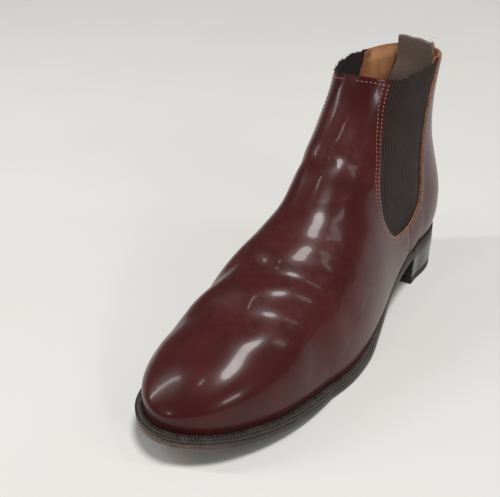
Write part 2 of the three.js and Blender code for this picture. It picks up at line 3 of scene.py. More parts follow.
import bpy
import numpy as np
from mathutils import Matrix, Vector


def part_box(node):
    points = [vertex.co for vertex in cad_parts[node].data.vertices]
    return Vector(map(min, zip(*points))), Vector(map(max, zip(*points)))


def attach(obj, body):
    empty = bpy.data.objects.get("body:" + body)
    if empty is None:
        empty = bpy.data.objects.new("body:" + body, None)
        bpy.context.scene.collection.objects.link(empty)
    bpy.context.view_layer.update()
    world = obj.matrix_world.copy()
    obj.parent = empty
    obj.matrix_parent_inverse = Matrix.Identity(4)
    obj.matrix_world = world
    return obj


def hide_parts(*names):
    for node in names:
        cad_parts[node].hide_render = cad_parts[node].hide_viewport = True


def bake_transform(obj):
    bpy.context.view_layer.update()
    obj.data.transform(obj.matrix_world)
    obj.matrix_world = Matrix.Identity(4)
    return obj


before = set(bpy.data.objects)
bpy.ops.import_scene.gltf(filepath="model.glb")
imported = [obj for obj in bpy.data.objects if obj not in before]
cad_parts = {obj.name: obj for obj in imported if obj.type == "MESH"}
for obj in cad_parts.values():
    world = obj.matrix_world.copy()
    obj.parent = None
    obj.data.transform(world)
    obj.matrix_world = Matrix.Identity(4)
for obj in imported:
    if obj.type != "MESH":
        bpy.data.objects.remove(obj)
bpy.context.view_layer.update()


# ---- Where the boot is seen from ----
# A standing person's view over the toe, from in front and from the boot's outer side, looking down
# on it, with the head tilted a little.

EYE = (0.2172, -0.3680, 0.2931)
TURNED, TIPPED, ROLLED = math.radians(35.97), math.radians(28.18), math.radians(-2.29)
LENS, SENSOR = 53.94, 36
eye_data = bpy.data.cameras.new("eye")
eye_data.lens = LENS
eye_data.sensor_width = SENSOR
eye = bpy.data.objects.new("eye", eye_data)
bpy.context.scene.collection.objects.link(eye)
ahead = np.array([-math.sin(TURNED) * math.cos(TIPPED),
                  math.cos(TURNED) * math.cos(TIPPED), -math.sin(TIPPED)])
level_right = np.array([math.cos(TURNED), math.sin(TURNED), 0])
level_up = np.cross(level_right, ahead)
eye_right = math.cos(ROLLED) * level_right + math.sin(ROLLED) * level_up
eye_up = -math.sin(ROLLED) * level_right + math.cos(ROLLED) * level_up
eye_turn = Matrix(np.array([eye_right, eye_up, -ahead]).T.tolist())
eye.matrix_world = Matrix.Translation(EYE) @ eye_turn.to_4x4()
bpy.context.scene.camera = eye


# ---- Vamp: the front of the upper ----
# One piece of glossy oxblood calf over the foot and the front of the shaft, pulled over the last
# and creased by walking. Its raw edges, at the topline and round the elastic, are tan.

# Sizes are in millimetres on the last: x across it, s forward from its heel and z up.
LEATHER, EDGE_SOFT = 1.4, 0.3
UPPER_LENGTH = 300
SHAFT_HEIGHT = 163
BELLY = 9  # from the feather line up to the widest part of the last
OUTER_BALL, INNER_BALL = 208, 222  # where its plan is widest
TOE_START, TOE_HEIGHT = 268, 27.5  # where its crest turns down, and the height that it turns down to
WAIST_BACK = 62  # behind this the foot is drawn in, and the shaft takes over
FINE_STEP = 0.05  # for finding which way the last's surface faces
HALVINGS = 34  # of a distance, for finding where the surface is
HUB = (95, 60)  # (s, z) inside the last, from which its outline is found


def curve(points):
    """A smooth curve through (place, value) pairs, straight past its ends."""
    x, y = np.array(points, float).T
    step = np.diff(x)
    rise = np.diff(y) / step
    inner = (rise[:-1] * step[1:] + rise[1:] * step[:-1]) / (step[:-1] + step[1:])
    slope = np.r_[rise[0], inner, rise[-1]]

    def at(place):
        place = np.asarray(place, float)
        i = np.clip(np.searchsorted(x, place) - 1, 0, len(step) - 1)
        t = (place - x[i]) / step[i]
        r = 1 - t
        inside = (y[i] * (1 + 2 * t) * r * r + step[i] * slope[i] * t * r * r
                  + y[i + 1] * t * t * (3 - 2 * t) - step[i] * slope[i + 1] * t * t * r)
        before = y[0] + (place - x[0]) * slope[0]
        after = y[-1] + (place - x[-1]) * slope[-1]
        return np.where(place <= x[0], before, np.where(place >= x[-1], after, inside))

    return at


centre_line = curve([(0, 4.5), (70, 0.5), (130, -0.5), (200, -2.5), (250, -3), (300, -5)])
outer_half = curve([(45, 31.5), (75, 34), (105, 38.5), (135, 45), (165, 50), (190, 50.5), (208, 47.5)])
inner_half = curve([(45, 31.5), (75, 30), (105, 28.8), (135, 31.7), (165, 37.8), (195, 43), (222, 42)])
crest_line = curve([(50, 82), (80, 103), (105, 113), (130, 112), (150, 105), (170, 94.5), (190, 83.5),
                    (210, 73.5), (230, 64.5), (250, 56.5), (268, 50)])
feather = curve([(0, 34.4), (40, 31.8), (70, 28), (100, 21), (130, 13.6), (160, 8.3), (185, 7), (205, 7.4),
                 (230, 10.2), (260, 14), (280, 17), (300, 20.8)])
shaft_back = curve([(30, 4.5), (42, 0.8), (56, -1.4), (72, -1), (92, 5), (112, 11.7), (132, 14.4),
                    (152, 13.8), (175, 11)])
shaft_front = curve([(30, 104), (60, 117), (90, 126.5), (112, 127.3), (132, 118), (152, 106.5), (175, 97)])
shaft_half = curve([(30, 31), (44, 34), (60, 34.6), (80, 32.5), (100, 30.8), (120, 30.3), (145, 30),
                    (175, 31)])
shaft_lean = curve([(60, -0.2), (110, 0.3), (175, 1.8)])
shaft_blend = curve([(30, 3), (60, 8), (100, 24), (175, 24)])
topline_above = curve([(-10, 4), (12, 3), (40, 0), (66, -2), (90, -3), (101, 1), (120, 3)])


def topline(s):
    return SHAFT_HEIGHT + topline_above(s)


def half_width(s, outer):
    """Half width of the last's plan, on the outer or the inner side."""
    def side(half, ball, n, m):
        t = np.clip((s - ball) / (UPPER_LENGTH - ball), 0, 1)
        return half(np.minimum(s, ball)) * np.maximum(1e-9, 1 - t ** n) ** (1 / m)
    return np.where(outer, side(outer_half, OUTER_BALL, 2.15, 1.95), side(inner_half, INNER_BALL, 2.6, 1.85))


def crest(s):
    t = np.clip((s - TOE_START) / (UPPER_LENGTH - TOE_START), 0, 1)
    return TOE_HEIGHT + (crest_line(s) - TOE_HEIGHT) * np.sqrt(np.maximum(1e-9, 1 - t ** 2.3))


def last(x, s, z):
    """Below zero inside the last that the upper was pulled over, and zero on its surface."""
    centre = centre_line(s)
    half = np.maximum(half_width(s, x >= centre), 1e-3)
    belly = feather(s) + BELLY
    height = np.maximum(crest(s) - belly, 1e-3)
    v = np.where(z >= belly, (z - belly) / height, (belly - z) / 40)
    q = np.clip(2 + (s - 120) * 0.0025, 2, 2.3)
    reach = (np.abs((x - centre) / half) ** q + np.abs(v) ** q) ** (1 / q)
    behind = np.maximum(0, WAIST_BACK - s)
    foot = (reach - 1) * np.minimum(np.maximum(half, 3), np.maximum(height, 3)) + 0.02 * behind ** 2
    foot = np.maximum(foot, s - UPPER_LENGTH)
    back, front = shaft_back(z), shaft_front(z)
    middle = back + 0.45 * (front - back)
    deep = np.abs(s - middle) / np.where(s > middle, front - middle, middle - back)
    wide = np.abs(x - centre - shaft_lean(z)) / shaft_half(z)
    p = np.clip(2.35 - (z - 30) * 0.002, 2.15, 2.35)
    shaft = ((wide ** p + deep ** p) ** (1 / p) - 1) * shaft_half(z)
    k = np.clip(shaft_blend(z), 3, 24)
    h = np.clip(0.5 + 0.5 * (shaft - foot) / k, 0, 1)
    return shaft * (1 - h) + foot * h - k * h * (1 - h)


def crossing(value, far, shape=()):
    """The distance at which a function of distance stops being below zero."""
    low, high = np.zeros(shape), np.full(shape, float(far))
    for _ in range(HALVINGS):
        middle = (low + high) / 2
        inside = value(middle) < 0
        low, high = np.where(inside, middle, low), np.where(inside, high, middle)
    return low


def surface_x(s, z, side):
    s, z = np.broadcast_arrays(np.asarray(s, float), np.asarray(z, float))
    centre = centre_line(s)
    return centre + side * crossing(lambda d: last(centre + side * d, s, z), 90, s.shape)


def on_last(s, z, side):
    """Points (x, s, z) on the last's surface, and the directions out of it there."""
    s, z = np.broadcast_arrays(np.asarray(s, float), np.asarray(z, float))
    points = np.stack([surface_x(s, z, side), s, z], -1)
    return points, out_of_last(points)


def out_of_last(points):
    out = []
    for step in np.eye(3) * FINE_STEP:
        out.append((last(*(points + step).T) - last(*(points - step).T)).T)
    out = np.stack(out, -1)
    return out / np.linalg.norm(out, axis=-1, keepdims=True)


def outline_at(angle):
    """Places on the side view's outline, seen from its hub."""
    toward = np.stack([np.cos(angle), np.sin(angle)])

    def value(d):
        s, z = HUB[0] + d * toward[0], HUB[1] + d * toward[1]
        return last(centre_line(s), s, z)

    d = crossing(value, UPPER_LENGTH, np.shape(angle))
    return np.stack([HUB[0] + d * toward[0], HUB[1] + d * toward[1]], -1)


def angle_where(height, low, high):
    """The angle, seen from the hub, at which the outline meets a height."""
    for _ in range(8):
        angles = np.linspace(low, high, 41)
        places = outline_at(angles)
        above = places[:, 1] - height(places[:, 0])
        i = np.nonzero(above[:-1] * above[1:] <= 0)[0][0]
        low, high = angles[i], angles[i + 1]
    return (low + high) / 2


def divided(points, shares):
    """A polyline's points at shares of its length."""
    points = np.array(points, float)
    lengths = np.r_[0, np.cumsum(np.linalg.norm(np.diff(points, axis=0), axis=1))]
    want = np.asarray(shares) * lengths[-1]
    return np.stack([np.interp(want, lengths, column) for column in points.T], -1)


def spline(points, each=12):
    """A smooth closed-form line through points, each stretch cut into equal steps."""
    points = np.array(points, float)
    padded = np.vstack([points[:1], points, points[-1:]])
    t = np.linspace(0, 1, each, endpoint=False)[:, None]
    made = []
    for a, b, c, d in zip(padded[:-3], padded[1:-2], padded[2:-1], padded[3:]):
        rise_b, rise_c = (c - a) / 2, (d - b) / 2
        made.append((2 * b - 2 * c + rise_b + rise_c) * t ** 3
                    + (-3 * b + 3 * c - 2 * rise_b - rise_c) * t ** 2 + rise_b * t + b)
    return np.vstack([*made, points[-1:]])


gore_line = spline([(83, 180), (91, 158.5), (99, 140.7), (108.5, 119), (115.5, 100), (116, 80), (108.5, 65),
                    (97, 57), (83, 54.5), (69.5, 59.5), (60, 73), (57.3, 92), (55.6, 108), (53.5, 124),
                    (49, 141), (39.5, 163), (33, 180)])
toe_angle = angle_where(feather, -0.6, 0.3)
front_angle = angle_where(topline, 0.9, 2.0)
back_angle = angle_where(topline, 2.6, 1.75)
heel_angle = angle_where(feather, 3.7, 3.0)
ridge_line = outline_at(np.linspace(toe_angle, front_angle, 900))
heel_line = outline_at(np.linspace(heel_angle, back_angle, 400))
gore_lowest = int(np.argmin(gore_line[:, 1]))
gore_front = gore_line[:gore_lowest + 1][::-1]
gore_back = gore_line[gore_lowest:]


def below_topline(line):
    """The part of a rising line under the topline, with its last point on it."""
    above = line[:, 1] - topline(line[:, 0])
    i = int(np.nonzero(above > 0)[0][0])
    t = -above[i - 1] / (above[i] - above[i - 1])
    return np.vstack([line[:i], line[i - 1] + t * (line[i] - line[i - 1])])


# the side seam runs from the lowest part of the gore down to the feather line
SEAM_TOP, SEAM_BEND, SEAM_FOOT = 76.4, (74, 48), 67.7
seam_top = int(np.argmin(np.abs(gore_back[:, 0] - SEAM_TOP)))
seam_line = np.array([(SEAM_FOOT, float(feather(SEAM_FOOT))), SEAM_BEND, gore_back[seam_top]])
vamp_edge = below_topline(np.vstack([seam_line[:2], gore_back[:seam_top + 1][::-1], gore_front[1:]]))
quarter_edge = below_topline(np.vstack([seam_line[:2], gore_back[seam_top:]]))

# how often a grid is evened out, and then drawn in where it has crossed the outline
EVENING_PASSES, PULL_PASSES, PULL = 20, 12, 0.0008


def side_view(ridge, edge, columns, rows):
    """A grid in the side view, from a ridge to an edge, and from the feather line to the topline.
    Its columns crowd towards the ridge, where the surface turns away from the side."""
    u = np.linspace(0, 1, columns) ** 2
    v = np.linspace(0, 1, rows)
    a, c = divided(ridge, v), divided(edge, v)
    fine = np.linspace(0, 1, 400)

    def lying(height, start, end):
        s = start + (end - start) * fine
        return divided(np.stack([s, height(s)], -1), u)

    d, b = lying(feather, a[0, 0], c[0, 0]), lying(topline, a[-1, 0], c[-1, 0])
    u_, v_ = u[None, :, None], v[:, None, None]
    grid = ((1 - u_) * a[:, None] + u_ * c[:, None] + (1 - v_) * d[None] + v_ * b[None]
            - (1 - v_) * ((1 - u_) * a[0] + u_ * c[0]) - v_ * ((1 - u_) * a[-1] + u_ * c[-1]))
    left, right = np.diff(u)[:-1][None, :, None], np.diff(u)[1:][None, :, None]
    across = 2 / (left * right)
    along = 1 / (v[1] - v[0]) ** 2
    for _ in range(EVENING_PASSES):
        inner = ((grid[1:-1, :-2] * right + grid[1:-1, 2:] * left) / (left + right) * across
                 + (grid[:-2, 1:-1] + grid[2:, 1:-1]) * along) / (across + 2 * along)
        grid[1:-1, 1:-1] = inner
    for _ in range(PULL_PASSES):
        outside = last(centre_line(grid[..., 0]), grid[..., 0], grid[..., 1]) >= 0
        outside[:, 0] = False
        grid += np.where(outside[..., None], PULL * (np.array(HUB) - grid), 0)
    return grid


def wrapped(grid):
    """A side view grid on both sides of the last, joined along its ridge: (x, s, z) rows."""
    s, z = grid[..., 0], grid[..., 1]
    outer, inner = surface_x(s, z, 1), surface_x(s, z, -1)
    middle = (outer[:, :1] + inner[:, :1]) / 2
    x = np.hstack([inner[:, :0:-1], middle, outer[:, 1:]])
    both = [np.hstack([value[:, :0:-1], value]) for value in (s, z)]
    return np.stack([x, *both], -1)


def eased(t):
    t = np.clip(t, 0, 1)
    return t * t * (3 - 2 * t)


TIP_START, TIP_LENGTH = 284, 10  # the toe's rounded end


def outward(points):
    """The directions out of a grid of (x, s, z) points: the last's own, and the grid's at its toe."""
    right_handed = points * (1, -1, 1)
    out = np.cross(np.gradient(right_handed, axis=1), np.gradient(right_handed, axis=0)) * (1, -1, 1)
    out /= np.maximum(np.linalg.norm(out, axis=-1, keepdims=True), 1e-9)
    tip = eased((points[..., 1:2] - TIP_START) / TIP_LENGTH)
    out = out * tip + out_of_last(points) * (1 - tip)
    return out / np.linalg.norm(out, axis=-1, keepdims=True)


# Each crease is a line on the leather, (s, z, side), its depth, its half width, and the roll beside it.
CREASES = [
    ([(176, 36, 1), (185, 50, 1), (193, 63.6, 1), (199.7, 72.4, 1), (206.4, 74.6, 1), (203, 73.8, -1),
      (210, 66, -1), (217, 55, -1), (222, 44, -1)], 1.25, 6.5, 0.9),
    ([(226, 20, 1), (218, 32, 1), (216, 47, 1), (222, 58.5, 1), (230, 61.5, 1), (237, 61, 1), (240, 60, -1),
      (243, 56, -1), (248, 48, -1), (252, 38, -1)], 1.1, 7.5, 0.9),
    ([(170, 62, 1), (178, 74, 1), (188, 79.5, 1), (192, 81, -1), (192, 74, -1)], 0.35, 4.4, 0.15),
    ([(158, 70, 1), (168, 82, 1), (180, 87.5, 1), (182, 87, -1), (180, 78, -1)], 0.25, 4.4, 0.1),
    ([(116, 92, 1), (122, 106, 1), (129, 118, 1), (134, 122, 1), (137, 120.5, 1), (138, 119.5, -1),
      (130, 110, -1), (122, 96, -1)], 0.75, 5.2, 0.3),
]


def creased(points):
    """How far walking has moved the leather out of its lasted shape, in mm, and how creased it is."""
    flat = points.reshape(-1, 3)
    moved, worn = np.zeros(len(flat)), np.zeros(len(flat))
    for line, depth, width, roll in CREASES:
        knots = np.array([(float(surface_x(s, z, side)), s, z) for s, z, side in line])
        path = spline(knots, 8)
        ends = np.linspace(0, 1, len(path) - 1)
        nearest, share = np.full(len(flat), 1e9), np.zeros(len(flat))
        for i, (a, b) in enumerate(zip(path[:-1], path[1:])):
            run = b - a
            t = np.clip((flat - a) @ run / (run @ run), 0, 1)
            away = np.linalg.norm(flat - a - t[:, None] * run, axis=1)
            closer = away < nearest
            nearest = np.where(closer, away, nearest)
            share = np.where(closer, ends[i] + t / len(path), share)
        taper = np.sqrt(np.clip(4 * share * (1 - share), 0, 1))
        valley = np.exp(-(nearest / width) ** 2)
        hump = np.exp(-((nearest - 2.3 * width) / (1.2 * width)) ** 2)
        moved += taper * (roll * hump - depth * valley)
        worn = np.maximum(worn, taper * np.exp(-(nearest / (2.6 * width)) ** 2))
    return moved.reshape(points.shape[:-1]), worn.reshape(points.shape[:-1])


# how far the last's own zero lies from the boot's: to the inner side, back and up
LAST_CENTRE, LAST_HEEL, LAST_LIFT = 1.28, 151.69, 0.03


def placed(points):
    """Millimetres on the last as metres in the boot's own frame, whose Y runs from toe to heel."""
    x, s, z = np.moveaxis(np.asarray(points, float), -1, 0)
    return np.stack([x - LAST_CENTRE, LAST_HEEL - s, z + LAST_LIFT], -1) / 1000


def picked(piece):
    bpy.ops.object.select_all(action="DESELECT")
    bpy.context.view_layer.objects.active = piece
    piece.select_set(True)


def closed(piece, merge=True):
    """A piece with its doubled corners merged and its faces turned outwards."""
    picked(piece)
    bpy.ops.object.mode_set(mode="EDIT")
    bpy.ops.mesh.select_all(action="SELECT")
    if merge:
        bpy.ops.mesh.remove_doubles(threshold=1e-6)
    bpy.ops.mesh.normals_make_consistent(inside=False)
    bpy.ops.object.mode_set(mode="OBJECT")
    return piece


def grid_piece(name, points):
    """A grid primitive with its corners moved to rows of points on the last."""
    rows, columns = points.shape[:2]
    bpy.ops.object.select_all(action="DESELECT")
    bpy.ops.mesh.primitive_grid_add(x_subdivisions=columns - 1, y_subdivisions=rows - 1, size=1)
    piece = bpy.context.object
    piece.name = piece.data.name = name
    piece.data.vertices.foreach_set("co", placed(points).reshape(-1).astype(np.float32))
    piece.data.update()
    return piece


def modified(piece, kind, **settings):
    modifier = piece.modifiers.new(kind.lower(), kind)
    for name, value in settings.items():
        setattr(modifier, name, value)
    picked(piece)
    bpy.ops.object.modifier_apply(modifier=modifier.name)
    return piece


def smooth(piece, angle=40):
    picked(piece)
    bpy.ops.object.shade_smooth_by_angle(angle=math.radians(angle))
    return piece


def marked(piece, name, values):
    attribute = piece.data.attributes.new(name, "FLOAT", "POINT")
    attribute.data.foreach_set("value", np.asarray(values, np.float32).reshape(-1))
    return piece


def dressed(piece, *materials):
    piece.data.materials.clear()
    for material in materials:
        piece.data.materials.append(material)
    return piece


def thickened(piece, thick):
    """A sheet given its thickness inwards, its cut edge in the sheet's second material."""
    return modified(piece, "SOLIDIFY", thickness=thick / 1000, offset=-1, material_offset_rim=1,
                    use_even_offset=True)


def skin(name, points, worn):
    """A piece of leather cut to a grid: its grain side outermost, its cut edge a second material."""
    piece = dressed(grid_piece(name, points), oxblood, cut_edge)
    marked(piece, "worn", worn)
    thickened(piece, LEATHER)
    modified(piece, "BEVEL", width=EDGE_SOFT / 1000, segments=2, limit_method="ANGLE",
             angle_limit=math.radians(50))
    return smooth(piece)


class Wire:
    """One output socket in a finish, written in sums and products as a plain number is."""

    def __init__(self, tree, end=None):
        self.tree, self.end = tree, end

    def node(self, kind, settings=None, sockets=None, out=0):
        made = self.tree.nodes.new(kind)
        for name, value in (settings or {}).items():
            if name == "stops":
                ramp = made.color_ramp.elements
                while len(ramp) < len(value):
                    ramp.new(0.5)
                for stop, (place, shade) in zip(ramp, value):
                    stop.position, stop.color = place, shade
            else:
                setattr(made, name, value)
        for name, value in (sockets or {}).items():
            if isinstance(value, Wire):
                self.tree.links.new(value.end, made.inputs[name])
            else:
                made.inputs[name].default_value = value
        return Wire(self.tree, made.outputs[out]) if len(made.outputs) else made

    def maths(self, operation, *values):
        return self.node("ShaderNodeMath", {"operation": operation}, dict(enumerate(values)))

    def __add__(self, other):
        return self.maths("ADD", self, other)

    def __mul__(self, other):
        return self.maths("MULTIPLY", self, other)

    __radd__ = __add__
    __rmul__ = __mul__

    def between(self, low, high):
        """0 at low, 1 at high, and smooth between them."""
        return self.node("ShaderNodeMapRange", {"interpolation_type": "SMOOTHSTEP"},
                         {"Value": self, "From Min": low, "From Max": high})

    def mix(self, first, second):
        """The first colour where this is 0, the second where it is 1."""
        return self.node("ShaderNodeMix", {"data_type": "RGBA"}, {0: self, 6: first, 7: second}, out=2)

    def noise(self, scale, detail=2, stretch=(1, 1, 1)):
        """Cloudy 0 to 1, with features about 1 / scale metres across."""
        place = self.node("ShaderNodeTexCoord", out="Object")
        if stretch != (1, 1, 1):
            place = self.node("ShaderNodeMapping", {}, {"Vector": place, "Scale": stretch})
        return self.node("ShaderNodeTexNoise", {}, {"Vector": place, "Scale": scale, "Detail": detail})

    def bump(self, height, depth, strength=1.0):
        return self.node("ShaderNodeBump", {}, {"Height": height, "Distance": depth, "Strength": strength})


def shade(red, green, blue):
    """A colour as it looks, 0 to 255, as the light that a shader works in."""
    linear = [(c / 255 / 12.92) if c < 10 else ((c / 255 + 0.055) / 1.055) ** 2.4 for c in (red, green, blue)]
    return (*linear, 1)


def finish(name, build, **constants):
    """A material whose shader is given its fixed sockets here and its patterns by build."""
    material = bpy.data.materials.new(name)
    material.use_nodes = True
    tree = material.node_tree
    shader = tree.nodes["Principled BSDF"]
    for socket, value in constants.items():
        shader.inputs[socket.replace("_", " ")].default_value = value
    for socket, value in build(Wire(tree)).items():
        tree.links.new(value.end, shader.inputs[socket])
    return material


def calf(w):
    tone = w.noise(38, 4)
    worn = w.node("ShaderNodeAttribute", {"attribute_name": "worn"}, out="Fac")
    mottled = tone.between(0.35, 0.7).mix(shade(65, 22, 22), shade(75, 27, 26))
    fine = w.noise(240, 3)
    colour = (worn * 0.35 * fine.between(0.3, 0.8)).mix(mottled, shade(92, 46, 42))
    grain = w.noise(1500, 3)
    wrinkles = w.noise(260, 4, stretch=(0.5, 3.2, 1.1))
    height = grain * 0.25 + wrinkles * worn * 1.6 + fine * 0.12
    rough = 0.22 + tone * 0.08 + worn * 0.06 + fine * 0.05
    return {"Base Color": colour, "Roughness": rough, "Normal": w.bump(height, 0.00012, 0.4)}


def cut_leather(w):
    fibre = w.noise(900, 4, stretch=(1, 1, 2.5))
    patch = w.noise(120, 2)
    colour = (fibre * 0.7 + patch * 0.3).between(0.3, 0.7).mix(shade(112, 66, 44), shade(186, 134, 98))
    return {"Base Color": colour, "Roughness": 0.7 + fibre * 0.2, "Normal": w.bump(fibre, 0.0003)}


oxblood = finish("oxblood_calf", calf, Coat_Weight=0.15, Coat_Roughness=0.08, Specular_IOR_Level=0.22)
cut_edge = finish("cut_calf_edge", cut_leather)


def fitted(piece, slot, *nodes):
    """A piece that takes the place of plain nodes and stays with the boot."""
    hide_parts(*nodes)
    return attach(piece, "boot")


vamp_base = wrapped(side_view(ridge_line, vamp_edge, 96, 190))
vamp_out = outward(vamp_base)
vamp_moved, vamp_worn = creased(vamp_base)
vamp = skin("vamp_leather", vamp_base + vamp_out * vamp_moved[..., None], vamp_worn)
fitted(vamp, "upper_leather", "vamp")


# ---- Quarter: the back of the upper ----
# The same calf round the heel, in one piece from side seam to side seam, stiffened by a counter.
# It meets the vamp at the side seams and holds the elastic's back edges.

QUARTER_WORN = 0.05
quarter_base = wrapped(side_view(heel_line, quarter_edge, 46, 120))[:, ::-1]
quarter_out = outward(quarter_base)
quarter = skin("quarter_leather", quarter_base, np.full(quarter_base.shape[:2], QUARTER_WORN))
fitted(quarter, "upper_leather", "quarter")


# ---- Linings ----
# Tan sheepskin behind the vamp and behind the quarter, cut to the same edges and open where the
# elastic is. It lies under the interlining, and comes up against the leather at the topline.

LINING = 1.3
LINING_DEPTH, DEPTH_AT_TOPLINE = 3.4, 1.5  # from the leather's face to the lining's
TOPLINE_RUN = 9  # the height over which it comes up
GORE_CLEAR, GORE_RUN = 3, 4  # round the elastic it stays deep


def sheepskin(w):
    tone = w.noise(45, 4, stretch=(1, 1, 0.35))
    grain = w.noise(1400, 3)
    rubbed = w.noise(160, 3, stretch=(1, 1, 0.2))
    colour = tone.between(0.3, 0.72).mix(shade(150, 96, 58), shade(196, 138, 92))
    colour = (rubbed.between(0.5, 0.8) * 0.5).mix(colour, shade(122, 76, 48))
    return {"Base Color": colour, "Roughness": 0.5 + tone * 0.2,
            "Normal": w.bump(grain + rubbed * 1.5, 0.00015)}


tan_lining = finish("tan_lining", sheepskin)


def lining_piece(name, base, out, node):
    below = topline(base[..., 1]) - base[..., 2]
    from_gore = np.min(np.linalg.norm(base[..., None, 1:] - gore_line[None, None, ::4], axis=-1), axis=-1)
    near_top = (1 - eased(below / TOPLINE_RUN)) * eased((from_gore - GORE_CLEAR) / GORE_RUN)
    depth = LINING_DEPTH - (LINING_DEPTH - DEPTH_AT_TOPLINE) * near_top
    piece = dressed(grid_piece(name, base - out * depth[..., None]), tan_lining, cut_edge)
    smooth(thickened(piece, LINING))
    return fitted(piece, "lining_leather", node)


lining_piece("front_lining", vamp_base[::2, ::2], vamp_out[::2, ::2], "vamp_lining")
lining_piece("back_lining", quarter_base, quarter_out, "quarter_lining")


# ---- Interlinings ----
# Thin stiff canvas glued between leather and lining. It starts above the stiffeners of toe and heel
# and stops short of the topline, where leather and lining are sewn together.

INTERLINING_DEPTH, CANVAS_THICK = 1.9, 0.8
CANVAS_THREADS = 220
# every second row and column of the leather's grids, clear of their edges
FRONT_ROWS, FRONT_COLUMNS = slice(60, -12, 2), slice(12, -12, 2)
BACK_ROWS, BACK_COLUMNS = slice(54, -12, 2), slice(6, -6, 2)


def canvas(w):
    place = w.node("ShaderNodeTexCoord", out="Object")
    across = w.node("ShaderNodeTexWave", {"bands_direction": "Y"}, {"Vector": place, "Scale": CANVAS_THREADS})
    up = w.node("ShaderNodeTexWave", {"bands_direction": "Z"}, {"Vector": place, "Scale": CANVAS_THREADS})
    weave = across * 0.5 + up * 0.5
    colour = weave.mix(shade(186, 174, 150), shade(222, 212, 190))
    return {"Base Color": colour, "Roughness": 0.75 + weave * 0.15, "Normal": w.bump(weave, 0.0002)}


stiff_canvas = finish("stiff_canvas", canvas)


def interlining(name, base, out, node):
    piece = grid_piece(name, base - out * INTERLINING_DEPTH)
    modified(piece, "SOLIDIFY", thickness=CANVAS_THICK / 1000, offset=-1)
    dressed(smooth(piece), stiff_canvas)
    return fitted(piece, "stiffener", node)


interlining("front_canvas", vamp_base[FRONT_ROWS, FRONT_COLUMNS], vamp_out[FRONT_ROWS, FRONT_COLUMNS],
            "vamp_interlining")
interlining("back_canvas", quarter_base[BACK_ROWS, BACK_COLUMNS], quarter_out[BACK_ROWS, BACK_COLUMNS],
            "backstay_interlining")


# ---- Gores ----
# Two panels of black-brown elastic webbing, ribbed up and down and tucked behind the leather's edge.
# Their top edges are cut, and have frayed and stretched into waves a little above the leather.

GORE_TUCK = 4  # how far the webbing reaches behind the leather
GORE_DEPTH = 1.7
GORE_THICK = 1.3
GORE_BULGE, BULGE_RUN = 1.0, 12  # the open middle stands proud of the edges
GORE_LOW, LOW_RUN = 56, 14
RIBS, RIB_HEIGHT = 52, 0.06
GORE_COLUMNS, GORE_ROWS = 220, 120


def elastic_weave(w):
    place = w.node("ShaderNodeUVMap", out=0)
    ribs = w.node("ShaderNodeTexWave", {"bands_direction": "X"},
                  {"Vector": place, "Scale": RIBS * math.pi / 20, "Distortion": 0.6, "Detail Scale": 6.0})
    yarn = w.noise(2600, 2)
    cloud = w.noise(60, 3)
    colour = (ribs * 0.5 + yarn * 0.5).between(0.25, 0.8).mix(shade(34, 26, 25), shade(58, 46, 43))
    colour = (cloud.between(0.45, 0.75) * 0.4).mix(colour, shade(64, 52, 49))
    return {"Base Color": colour, "Roughness": 0.78 + yarn * 0.15,
            "Normal": w.bump(ribs * 0.4 + yarn, 0.00025)}


elastic = finish("elastic_webbing", elastic_weave, Sheen_Weight=0.04, Sheen_Roughness=0.5,
                 Specular_IOR_Level=0.2)


def grown(line, distance):
    """A line moved to its left."""
    run = np.gradient(line, axis=0)
    run /= np.linalg.norm(run, axis=1, keepdims=True)
    return line + distance * np.stack([-run[:, 1], run[:, 0]], -1)


def gore_grid(side):
    """The elastic in rows, from its rounded bottom to its wavy top."""
    wide_line = grown(gore_line, GORE_TUCK)
    low = int(np.argmin(wide_line[:, 1]))
    front, back = wide_line[:low + 1][::-1], wide_line[low:]
    t = np.linspace(0, 1, GORE_ROWS) ** 1.5
    a = np.linspace(0, 1, GORE_COLUMNS)
    reach = np.array([below_topline(front)[-1], below_topline(back)[-1]])
    z_front = front[0, 1] + (reach[0, 1] - front[0, 1]) * t
    z_back = back[0, 1] + (reach[1, 1] - back[0, 1]) * t
    s_front = np.interp(z_front, front[:, 1], front[:, 0])
    s_back = np.interp(z_back, back[:, 1], back[:, 0])
    s = s_front[:, None] + (s_back - s_front)[:, None] * a[None]
    z = z_front[:, None] + (z_back - z_front)[:, None] * a[None]
    top = topline(s[-1])
    z += t[:, None] ** 3 * (top - z[-1])[None]
    wave = 1.1 + 0.5 * np.sin(a * 21 + side) + 0.35 * np.sin(a * 57 + 2 * side) + 0.2 * np.sin(a * 131)
    wave *= np.sin(np.pi * a) ** 0.35
    z += t[:, None] ** 8 * wave[None]
    points, out = on_last(s, z, side)
    rib = RIB_HEIGHT * np.cos(a * RIBS * 2 * np.pi)[None] * np.sin(np.pi * a)[None] ** 0.2
    hidden = np.minimum(a, 1 - a)[None] * np.abs(s_front - s_back)[:, None]
    bulge = GORE_BULGE * eased((hidden - GORE_TUCK) / BULGE_RUN) * eased((z - GORE_LOW) / LOW_RUN)
    bulge = bulge + 0.5 * t[:, None] ** 6
    points = points + out * (rib + bulge - GORE_DEPTH)[..., None]
    return points if side > 0 else points[:, ::-1]


gore_tops = {}
for name, side in (("gore_lateral", 1), ("gore_medial", -1)):
    points = gore_grid(side)
    gore_tops[side] = points[-1]
    piece = grid_piece(name + "_webbing", points)
    modified(piece, "SOLIDIFY", thickness=GORE_THICK / 1000, offset=-1)
    dressed(smooth(piece, 60), elastic)
    fitted(piece, "elastic", name)


# ---- Stitching ----
# Rows of light tan linen thread: two round each elastic, one under the topline and one by each side
# seam. Each stitch shows about two millimetres of thread, and its ends dip into the leather.

